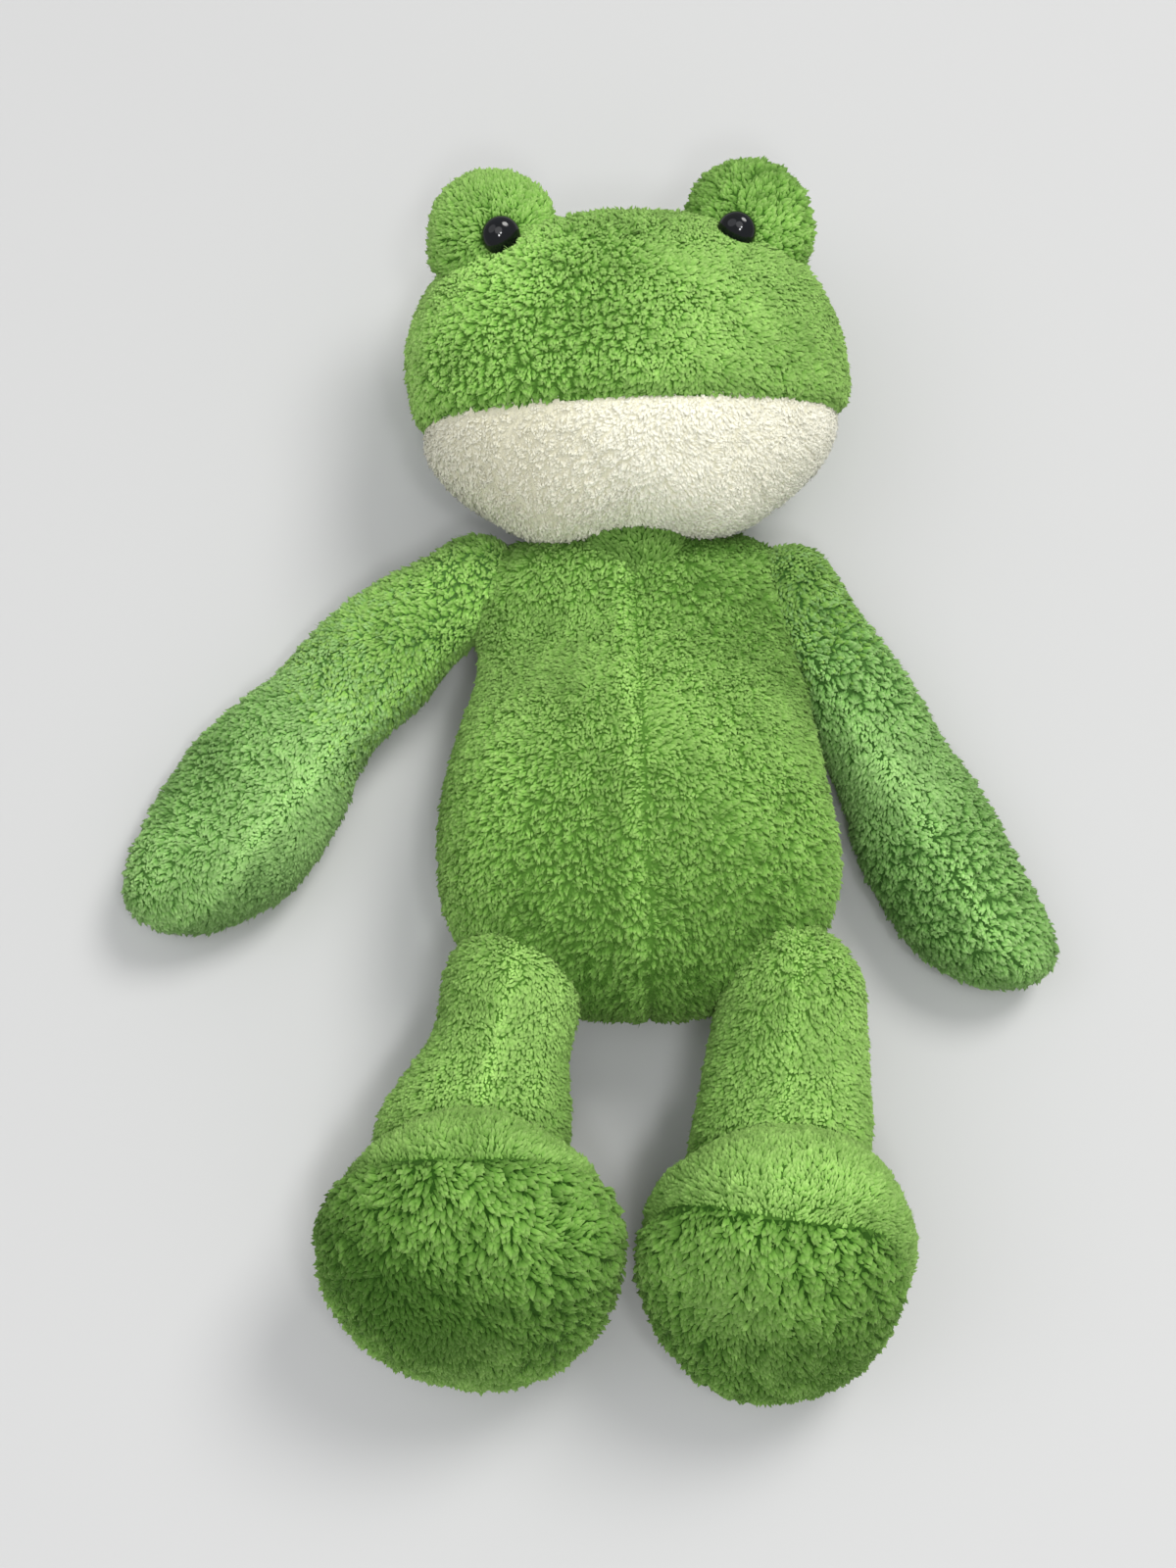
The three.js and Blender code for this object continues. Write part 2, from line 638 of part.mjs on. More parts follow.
function legForm(side) {
  const hip = hipPivot(side);
  const ankle = anklePivot(side);
  const along = ankle.clone().sub(hip).normalize();
  return {
    spine: straight(
      hip.clone().addScaledVector(along, -LEG_ROOT_RADIUS),
      ankle.clone().addScaledVector(along, LEG_ANKLE_RADIUS),
    ),
    widths: [LEG_ROOT_RADIUS, LEG_ROOT_RADIUS, LEG_CALF_WIDTH / 2, LEG_ANKLE_RADIUS, LEG_ANKLE_RADIUS],
    depths: [LEG_ROOT_RADIUS, LEG_ROOT_RADIUS, LEG_ROOT_RADIUS, LEG_ANKLE_RADIUS, LEG_ANKLE_RADIUS],
    startCap: LEG_ROOT_RADIUS,
    endCap: LEG_ANKLE_RADIUS,
    detail: LIMB_DETAIL,
  };
}

function footForm(side) {
  const width = side < 0 ? LEFT_FOOT_WIDTH : RIGHT_FOOT_WIDTH;
  const middle = anklePivot(side);
  middle.addScaledVector(sole, ANKLE_SETBACK);
  middle.addScaledVector(toes, -ANKLE_RISE);
  return {
    spine: straight(
      middle.clone().addScaledVector(toes, -FOOT_LENGTH / 2),
      middle.clone().addScaledVector(toes, FOOT_LENGTH / 2),
    ),
    widths: [width / 2, width / 2],
    depths: [FOOT_THICKNESS / 2, FOOT_THICKNESS / 2],
    startCap: FOOT_LENGTH / 2,
    endCap: FOOT_LENGTH / 2,
    front: sole,
    detail: LIMB_DETAIL,
  };
}

function leg(side) {
  const name = side < 0 ? 'left' : 'right';
  const hip = hipPivot(side);
  const form = legForm(side);
  const behind = form.spine.getTangentAt(0).negate();
  const room = wadRoom(hip, HIP_WAD_RADIUS, behind, LEG_ROOT_RADIUS);
  const { skin, stuffing } = cut(stuffed(form), [room]);
  const outward = new THREE.Vector3().crossVectors(UP, behind).normalize().multiplyScalar(-side);
  return [
    piece(`${name}_leg_outer`, skin.intersect(sideOf(hip, outward)), fleece(GREEN)),
    piece(`${name}_leg_inner`, skin.intersect(sideOf(hip, outward.clone().negate())), fleece(GREEN)),
    piece(`${name}_leg_stuffing`, stuffing, filling()),
    piece(`${name}_hip_wad`, ball(hip, HIP_WAD_RADIUS), filling()),
  ];
}

// The hollows in the torso for a leg, from where it lies to where it is lifted
function legSeats(side) {
  const hip = hipPivot(side);
  const along = anklePivot(side).sub(hip).normalize();
  const lifts = [0, LEG_LIFT / 2, LEG_LIFT];
  const beside = lifts.map((lift) => {
    const lifted = along.clone().applyAxisAngle(new THREE.Vector3(-1, 0, 0), radians(lift));
    return bar(hip, lifted, LEG_ROOT_RADIUS + SEAT_GAP, LEG_LENGTH, LEG_CALF_WIDTH / 2 + SEAT_GAP);
  });
  return [seat(hip, LEG_ROOT_RADIUS + SEAT_GAP), ...beside];
}

// The hollow in a foot for the leg's round end, which widens so that the ankle can flex
function ankleRoom(side) {
  const ankle = anklePivot(side);
  const shin = hipPivot(side).sub(ankle).normalize();
  const radius = LEG_CALF_WIDTH / 2 + SEAT_GAP;
  const wider = radius + LEG_LENGTH * Math.tan(radians(ANKLE_FLEX));
  return seat(ankle, LEG_ANKLE_RADIUS + SEAT_GAP).add(bar(ankle, shin, radius, LEG_LENGTH, wider));
}

// A round bar from heel to toe. Its surface, moved out by the gap, cuts the foot along the sole's seam
function underSoleSeam(side, gap) {
  const rise = side < 0 ? LEFT_SOLE_SEAM_RISE : RIGHT_SOLE_SEAM_RISE;
  const radius = side < 0 ? LEFT_SOLE_SEAM_RADIUS : RIGHT_SOLE_SEAM_RADIUS;
  const middle = footForm(side).spine.getPointAt(0.5).addScaledVector(sole, rise - radius);
  const geometry = new THREE.CylinderGeometry(radius + gap, radius + gap, CUTTER_SIZE, SEAM_SEGMENTS);
  return solid(placed(geometry, middle, toes));
}

function foot(side) {
  const name = side < 0 ? 'left' : 'right';
  const { skin, stuffing } = cut(stuffed(footForm(side)), [ankleRoom(side)]);
  const upper = skin.intersect(underSoleSeam(side, -SEAM_GAP / 2));
  const underfoot = skin.subtract(underSoleSeam(side, SEAM_GAP / 2));
  return [
    piece(`${name}_foot_upper`, upper, fleece(GREEN)),
    piece(`${name}_foot_sole`, underfoot, fleece(GREEN)),
    piece(`${name}_foot_stuffing`, stuffing, filling()),
  ];
}

const frog = new THREE.Group();
const leaningHead = new THREE.Group();
leaningHead.position.copy(neckPivot);
leaningHead.rotation.z = radians(HEAD_TILT);
for (const part of head()) {
  part.position.copy(neckPivot).negate();
  leaningHead.add(part);
}
frog.add(...torso(), leaningHead);
for (const side of [-1, 1]) {
  frog.add(...arm(side), ...leg(side), ...foot(side));
}

export default frog;
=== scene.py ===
"""Looks of a plush frog that lies on its back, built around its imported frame.

Every form is a skin of rings along a spine, swollen like a stuffed cushion, with looped fleece
standing on it as small tapered tufts. Sizes are in millimetres until a mesh is made.
"""

import logging
import math
from dataclasses import dataclass, field
from enum import Enum

import bpy
import numpy as np
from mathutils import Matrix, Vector
from mathutils.kdtree import KDTree


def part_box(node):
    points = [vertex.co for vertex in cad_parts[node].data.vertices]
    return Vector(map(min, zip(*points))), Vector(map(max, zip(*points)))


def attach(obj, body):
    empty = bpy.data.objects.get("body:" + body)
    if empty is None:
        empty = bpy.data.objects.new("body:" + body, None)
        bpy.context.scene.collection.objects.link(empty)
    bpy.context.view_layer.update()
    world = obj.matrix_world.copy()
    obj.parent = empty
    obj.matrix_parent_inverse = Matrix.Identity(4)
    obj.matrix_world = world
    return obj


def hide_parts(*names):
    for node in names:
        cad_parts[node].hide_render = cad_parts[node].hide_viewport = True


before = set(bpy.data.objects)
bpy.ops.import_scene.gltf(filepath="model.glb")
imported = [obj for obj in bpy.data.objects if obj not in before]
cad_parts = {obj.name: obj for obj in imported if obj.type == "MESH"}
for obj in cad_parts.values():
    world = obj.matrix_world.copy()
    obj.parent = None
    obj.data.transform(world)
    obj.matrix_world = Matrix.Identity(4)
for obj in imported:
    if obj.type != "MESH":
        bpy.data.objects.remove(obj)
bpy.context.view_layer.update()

log = logging.getLogger("plush_frog")

Array = np.ndarray
Colour = tuple[float, float, float]
Place = tuple[float, float, float]
Stops = list[tuple[float, Colour]]

MM = 0.001
FAR = 99.0  # a distance at which no seam shows
UP = np.array((0.0, 0.0, 1.0))
FLAT = 0.5  # how much is pressed flat where the toy lies on its back
FLOOR_CLEARANCE = 0.25  # under the lowest pile
PRESSED_BELOW = 1.0  # the height under which the floor presses the pile
PRESS_SOFTNESS = 1.5  # how gradually it does so


class Side(Enum):
    """A side of the toy, as seen from above."""

    LEFT = -1
    RIGHT = 1

    @property
    def word(self) -> str:
        """The side's name in the names of pieces."""
        return self.name.lower()


class Slot(Enum):
    """The record's material slots."""

    GREEN = "green_fleece"
    CREAM = "cream_fleece"
    STUFFING = "stuffing"
    EYE = "eye_plastic"


class Light(Enum):
    """A kind of light: near, or the same over the whole floor."""

    LAMP = "AREA"
    BEAM = "SUN"


def unit(vectors: Array) -> Array:
    """Vectors scaled to length 1."""
    return vectors / np.maximum(np.linalg.norm(vectors, axis=-1, keepdims=True), 1e-9)


def linear(rgb: Colour) -> tuple[float, float, float, float]:
    """A colour seen on screen, from 0 to 255, as the value that a shader's socket takes.

    Args:
        rgb: Red, green and blue.

    Returns:
        The socket's value.
    """
    share = [c / 255 for c in rgb]
    r, g, b = [c / 12.92 if c <= 0.04045 else ((c + 0.055) / 1.055) ** 2.4 for c in share]
    return r, g, b, 1.0


def spline(values: Array, t: Array) -> Array:
    """A smooth curve through evenly spaced values.

    Args:
        values: The values or points that the curve goes through.
        t: Where to read it, from 0 to 1.

    Returns:
        The curve's value at each t.
    """
    values = np.asarray(values, float)
    last = len(values) - 1
    place = np.clip(t, 0, 1) * last
    i = np.clip(np.floor(place).astype(int), 0, last - 1)
    w = place - i
    if values.ndim > 1:
        w = w[:, None]
    before, here = values[np.maximum(i - 1, 0)], values[i]
    there, after = values[i + 1], values[np.minimum(i + 2, last)]
    leave, arrive = (there - before) / 2, (after - here) / 2
    cubic = 2 * here - 2 * there + leave + arrive
    square = -3 * here + 3 * there - 2 * leave - arrive
    return cubic * w**3 + square * w**2 + leave * w + here


def smooth(values: Array, start: float, stop: float) -> Array:
    """0 before start, 1 after stop, and a smooth step between them."""
    share = np.clip((values - start) / (stop - start), 0, 1)
    return share * share * (3 - 2 * share)


def press(heights: Array) -> Array:
    """Heights over the floor, with those close to it or under it pressed into a thin layer.

    Args:
        heights: The heights.

    Returns:
        The pressed heights.
    """
    layer = PRESSED_BELOW - FLOOR_CLEARANCE
    pressed = FLOOR_CLEARANCE + layer * np.exp(np.minimum(heights - PRESSED_BELOW, 0) / PRESS_SOFTNESS)
    return np.where(heights < PRESSED_BELOW, pressed, heights)


def bump(distance: Array, width: float) -> Array:
    """1 at a distance of 0, falling off smoothly over a width."""
    return np.exp(-((distance / width) ** 2))


def without_flat(triangles: Array) -> Array:
    """Those of some triangles that have three different corners."""
    a, b, c = triangles.T
    return triangles[(a != b) & (b != c) & (a != c)]


@dataclass(frozen=True)
class Swelling:
    """A place that stands out or is lighter, or the reverse: its middle, its width and its height."""

    middle: float
    width: float
    height: float

    def over(self, values: Array) -> Array:
        """What it adds at these values."""
        return bump(values - self.middle, self.width) * self.height


@dataclass(frozen=True)
class Slope:
    """A smooth change: where it starts, where it stops and what it adds from there on."""

    start: float
    stop: float
    height: float

    def over(self, values: Array) -> Array:
        """What it adds at these values."""
        return smooth(values, self.start, self.stop) * self.height


@dataclass(frozen=True)
class Ripple:
    """A smooth unevenness that wanders over a form, the same in every run.

    Fields are its number, about how far apart its highs and lows lie, and how high it is.
    """

    number: int
    size: float
    height: float
    WAVES = 9

    def over(self, points: Array, seed: int = 0) -> Array:
        """What it adds at these points.

        Args:
            points: The points.
            seed: The form's seed.

        Returns:
            The amount at each point.
        """
        rng = np.random.default_rng(seed + self.number)
        ways = unit(rng.normal(size=(self.WAVES, 3))) * rng.uniform(0.6, 1.5, (self.WAVES, 1))
        ways *= math.pi / self.size
        starts = rng.uniform(0, 2 * math.pi, self.WAVES)
        waves = np.sin(points @ ways.T + starts)
        return waves.sum(-1) / math.sqrt(self.WAVES) * self.height


@dataclass
class MeshParts:
    """Corners, triangles, fleece coordinates and facings that are gathered for one mesh."""

    corners: list[Array] = field(default_factory=list)
    triangles: list[Array] = field(default_factory=list)
    tones: list[Array] = field(default_factory=list)
    facings: list[Array] = field(default_factory=list)
    count: int = 0

    def add(self, corners: Array, triangles: Array, tones: Array, facings: Array | None = None) -> None:
        """Adds corners with their triangles, their fleece coordinates and, for soft pile, their facings.

        Args:
            corners: The corners.
            triangles: The corners' numbers of each triangle.
            tones: The corners' fleece coordinates.
            facings: The way that each corner of soft pile faces.
        """
        self.corners.append(corners)
        self.triangles.append(triangles + self.count)
        self.tones.append(tones)
        self.facings.append(np.zeros((len(corners), 3)) if facings is None else facings)
        self.count += len(corners)

    def make(self, name: str, finish: "Finish") -> bpy.types.Object:
        """Makes the object.

        Args:
            name: The piece's name.
            finish: Its finish.

        Returns:
            The new object, in the scene.
        """
        corners = np.concatenate(self.corners)
        corners[:, 2] = press(corners[:, 2])
        corners *= MM
        triangles = np.concatenate(self.triangles)
        tones = np.concatenate(self.tones)
        mesh = bpy.data.meshes.new(name)
        mesh.vertices.add(len(corners))
        mesh.vertices.foreach_set("co", corners.astype(np.float32).ravel())
        mesh.loops.add(triangles.size)
        mesh.loops.foreach_set("vertex_index", triangles.astype(np.int32).ravel())
        mesh.polygons.add(len(triangles))
        mesh.polygons.foreach_set("loop_start", np.arange(0, triangles.size, 3, dtype=np.int32))
        mesh.polygons.foreach_set("use_smooth", np.ones(len(triangles), bool))
        layer = mesh.uv_layers.new(name="OFBake")
        layer.uv.foreach_set("vector", tones[triangles.ravel()].astype(np.float32).ravel())
        mesh.update(calc_edges=True)
        mesh.validate()
        facings = np.concatenate(self.facings)
        if facings.any():
            mesh.normals_split_custom_set_from_vertices(facings)
        mesh.materials.append(MATERIALS.get(finish))
        obj = bpy.data.objects.new(name, mesh)
        bpy.context.scene.collection.objects.link(obj)
        return obj


def hand_over(
    piece: bpy.types.Object, body: str, nodes: tuple[str, ...], slot: Slot, fill: float | None = None
) -> None:
    """Puts a piece on its body, in place of the frame's nodes.

    Args:
        piece: The piece.
        body: The body that it moves with.
        nodes: The nodes that it stands for.
        slot: Its material slot in the record; not used.
        fill: How firmly it is stuffed, if it is; not used.
    """
    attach(piece, body)
    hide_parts(*nodes)
    log.info("%s: %d triangles", piece.name, len(piece.data.polygons))


class Nodes:
    """A material's node tree, with short ways to add and join nodes."""

    def __init__(self, name: str) -> None:
        """Starts a material with only its shader and its output.

        Args:
            name: The material's name.
        """
        self.material = bpy.data.materials.new(name)
        self.material.use_nodes = True
        self.tree = self.material.node_tree
        self.shader = self.tree.nodes["Principled BSDF"]

    def add(self, kind: str, **settings: object) -> bpy.types.Node:
        """Adds a node of a kind, with its settings.

        Args:
            kind: The node's kind.
            settings: Its settings.

        Returns:
            The new node.
        """
        node = self.tree.nodes.new(kind)
        for key, value in settings.items():
            setattr(node, key, value)
        return node

    def join(self, source: bpy.types.NodeSocket, target: bpy.types.NodeSocket) -> None:
        """Links two sockets."""
        self.tree.links.new(source, target)

    def ramp(self, source: bpy.types.NodeSocket, stops: Stops) -> bpy.types.NodeSocket:
        """A source's values turned into colours by these stops.

        Args:
            source: The socket of the values.
            stops: Colours with their places from 0 to 1.

        Returns:
            The colours' socket.
        """
        node = self.add("ShaderNodeValToRGB")
        elements = node.color_ramp.elements
        while len(elements) < len(stops):
            elements.new(0.5)
        for element, (place, colour) in zip(elements, stops):
            element.position = place
            element.color = linear(colour)
        self.join(source, node.inputs["Fac"])
        return node.outputs["Color"]

    def mottle(self, pattern: str, stops: Stops, **inputs: float) -> None:
        """Colours the surface with a pattern over the object's own coordinates.

        Args:
            pattern: The kind of the pattern's node.
            stops: The colours that its values turn into.
            inputs: The pattern's own settings.
        """
        place = self.add("ShaderNodeTexCoord")
        node = self.add(pattern)
        for key, value in inputs.items():
            node.inputs[key].default_value = value
        self.join(place.outputs["Object"], node.inputs["Vector"])
        self.join(self.ramp(node.outputs[0], stops), self.shader.inputs["Base Color"])

    def set(self, **values: object) -> None:
        """Sets the shader's own sockets, named with underscores for spaces."""
        for key, value in values.items():
            self.shader.inputs[key.replace("_", " ")].default_value = value

    def sum(self, operation: str, value: bpy.types.NodeSocket, amount: float = 0.0) -> bpy.types.NodeSocket:
        """The outcome of a sum on a value.

        Args:
            operation: The sum's kind.
            value: The value's socket.
            amount: The other number.

        Returns:
            The outcome's socket.
        """
        node = self.add("ShaderNodeMath", operation=operation)
        node.inputs[1].default_value = amount
        self.join(value, node.inputs[0])
        return node.outputs["Value"]

    def grain(self, scale: float, strength: float, distance: float) -> None:
        """Gives the surface a fine grain of noise.

        Args:
            scale: The noise's scale over the object's own coordinates.
            strength: How strong the grain is.
            distance: How high it stands, in metres.
        """
        place = self.add("ShaderNodeTexCoord")
        noise = self.add("ShaderNodeTexNoise")
        noise.inputs["Scale"].default_value = scale
        noise.inputs["Detail"].default_value = 3.0
        raised = self.add("ShaderNodeBump")
        raised.inputs["Strength"].default_value = strength
        raised.inputs["Distance"].default_value = distance
        self.join(place.outputs["Object"], noise.inputs["Vector"])
        self.join(noise.outputs["Fac"], raised.inputs["Height"])
        self.join(raised.outputs["Normal"], self.shader.inputs["Normal"])


@dataclass(frozen=True)
class Fleece:
    """Looped fleece of its own colour, painted darker at its roots as shade down in the pile and lighter at
    its tips as a highlight.

    A fleece that fades from another one has that one's tones in the lower half of its tone coordinate.
    """

    name: str
    root: Colour
    middle: Colour
    tip: Colour
    dull: Colour
    bright: Colour
    sheen: float
    fades_from: "Fleece | None" = None

    def dye(
        self, nodes: Nodes, height: bpy.types.NodeSocket, tone: bpy.types.NodeSocket
    ) -> bpy.types.NodeSocket:
        """The fleece's colour.

        Args:
            nodes: The material that it is for.
            height: How far up the tuft a place is.
            tone: The tuft's tone.

        Returns:
            The colour's socket.
        """
        # The ramp up the tuft is painted light: shade at the root, highlight at the tip.
        pile = nodes.ramp(height, [(0.0, self.root), (0.5, self.middle), (1.0, self.tip)])
        shade = nodes.ramp(tone, [(0.0, self.dull), (1.0, self.bright)])
        dyed = nodes.add("ShaderNodeMix", data_type="RGBA", blend_type="MULTIPLY")
        dyed.inputs["Factor"].default_value = 1.0
        nodes.join(pile, dyed.inputs["A"])
        nodes.join(shade, dyed.inputs["B"])
        return dyed.outputs["Result"]

    def material(self) -> bpy.types.Material:
        """The fleece's material: one coordinate runs up the tuft, the other is the tuft's tone.

        Returns:
            The new material.
        """
        nodes = Nodes(self.name)
        place = nodes.add("ShaderNodeUVMap", uv_map="OFBake")
        split = nodes.add("ShaderNodeSeparateXYZ")
        nodes.join(place.outputs["UV"], split.inputs["Vector"])
        height, tone = split.outputs["Y"], split.outputs["X"]
        if self.fades_from is None:
            colour = self.dye(nodes, height, tone)
        else:
            within = nodes.sum("FRACT", nodes.sum("MULTIPLY", tone, 2.0))
            either = nodes.add("ShaderNodeMix", data_type="RGBA")
            nodes.join(nodes.sum("GREATER_THAN", tone, 0.5), either.inputs["Factor"])
            nodes.join(self.fades_from.dye(nodes, height, within), either.inputs["A"])
            nodes.join(self.dye(nodes, height, within), either.inputs["B"])
            colour = either.outputs["Result"]
        nodes.join(colour, nodes.shader.inputs["Base Color"])
        nodes.set(Roughness=0.9, Specular_IOR_Level=0.15)
        nodes.set(Sheen_Weight=self.sheen, Sheen_Roughness=0.45, Sheen_Tint=linear(self.tip))
        nodes.grain(scale=1600, strength=0.5, distance=0.0004)
        return nodes.material


class Pattern(Enum):
    """What a plain finish is mottled with."""

    CLOUDS = "ShaderNodeTexNoise"
    STREAKS = "ShaderNodeTexWave"


@dataclass(frozen=True)
class Plain:
    """A finish without pile, mottled between two close colours."""

    name: str
    stops: Stops
    scale: float
    roughness: float
    pattern: Pattern = Pattern.CLOUDS
    distortion: float = 0.0
    specular: float = 0.5
    sheen: float = 0.0
    fuzz: float = 0.0

    def material(self) -> bpy.types.Material:
        """The finish's material.

        Returns:
            The new material.
        """
        nodes = Nodes(self.name)
        nodes.mottle(self.pattern.value, self.stops, Scale=self.scale, Distortion=self.distortion)
        nodes.set(Roughness=self.roughness, Specular_IOR_Level=self.specular, Sheen_Weight=self.sheen)
        if self.fuzz:
            nodes.grain(scale=900, strength=self.fuzz, distance=0.0006)
        return nodes.material


EYE_PLASTIC = Plain(
    "eye_plastic", [(0.3, (5, 7, 10)), (0.8, (13, 17, 24))], scale=180.0, roughness=0.08, specular=0.38
)
WASHER_PLASTIC = Plain(
    "washer_plastic", [(0.2, (196, 196, 190)), (0.9, (224, 224, 219))], scale=260.0, roughness=0.5,
    pattern=Pattern.STREAKS, distortion=6.0,
)
FIBRE_FILLING = Plain(
    "fibre_filling", [(0.3, (208, 205, 197)), (0.7, (246, 244, 238))], scale=420.0, roughness=1.0,
    distortion=3.0, sheen=0.3, fuzz=0.8,
)
PALE_CARD = Plain(
    "pale_card", [(0.3, (194, 195, 196)), (0.7, (197, 198, 199))], scale=1.4, roughness=0.9, specular=0.1
)
Finish = Fleece | Plain


class Materials:
    """The finishes that pieces share, each made once."""

    def __init__(self) -> None:
        """Starts with none made."""
        self.made: dict[str, bpy.types.Material] = {}

    def get(self, finish: Finish) -> bpy.types.Material:
        """A finish's material, made on first use.

        Args:
            finish: The finish.

        Returns:
            The material.
        """
        if finish.name not in self.made:
            self.made[finish.name] = finish.material()
        return self.made[finish.name]


MATERIALS = Materials()


@dataclass(frozen=True)
class Pile:
    """The tufts that stand on a piece of fleece.

    Fields are the tufts' spacing, length and radius, how far they lean in degrees, how far the
    lean wanders, the size of the clumps that they stick together in and how strongly, how dark
    the painted shade in the gaps between them is, and how many stray fibres stand up from each tuft.
    """

    spacing: float
    length: float
    radius: float
    lean: float
    wander: float
    clump: float
    pull: float
    depth: float
    strays: float = 0.3


BODY_PILE = Pile(spacing=0.92, length=2.5, radius=0.5, lean=65, wander=42, clump=2.0, pull=0.32, depth=0.72)
HEAD_PILE = Pile(spacing=0.95, length=2.5, radius=0.54, lean=62, wander=46, clump=2.2, pull=0.42, depth=0.8)
CHIN_PILE = Pile(
    spacing=0.85, length=1.9, radius=0.45, lean=66, wander=50, clump=2.4, pull=0.34, depth=0.72, strays=0.55
)
MOUND_PILE = Pile(spacing=0.95, length=2.4, radius=0.54, lean=62, wander=44, clump=2.1, pull=0.42, depth=0.85)
ARM_PILE = Pile(spacing=0.95, length=2.5, radius=0.53, lean=64, wander=42, clump=2.2, pull=0.32, depth=0.75)
LEG_PILE = Pile(spacing=0.92, length=2.3, radius=0.5, lean=66, wander=38, clump=2.0, pull=0.32, depth=0.62)
UPPER_PILE = Pile(spacing=0.92, length=2.5, radius=0.5, lean=67, wander=36, clump=2.2, pull=0.15, depth=0.45)
SOLE_PILE = Pile(
    spacing=1.2, length=3.2, radius=0.7, lean=75, wander=44, clump=3.2, pull=0.42, depth=1.0, strays=0.15
)

# Each fleece's root colour carries painted shade and its tip colour a painted highlight; the middle colour is
# its own.
GREEN_FLEECE = Fleece(
    name="green_fleece",
    root=(100, 162, 54),
    middle=(163, 221, 105),
    tip=(197, 241, 141),
    dull=(98, 116, 88),
    bright=(255, 255, 255),
    sheen=0.3,
)
COOL_FLEECE = Fleece(
    name="cool_green_fleece",
    root=(99, 160, 69),
    middle=(162, 218, 121),
    tip=(197, 240, 158),
    dull=(98, 116, 94),
    bright=(255, 255, 255),
    sheen=0.3,
    fades_from=GREEN_FLEECE,
)
CREAM_FLEECE = Fleece(
    name="cream_fleece",
    root=(232, 228, 204),
    middle=(252, 250, 232),
    tip=(255, 254, 242),
    dull=(212, 211, 200),
    bright=(255, 255, 255),
    sheen=0.3,
)


@dataclass
class Samples:
    """Places on a skin where tufts stand."""

    points: Array
    normals: Array
    along: Array

    def only(self, chosen: Array) -> "Samples":
        """The chosen ones of these places."""
        return Samples(self.points[chosen], self.normals[chosen], self.along[chosen])


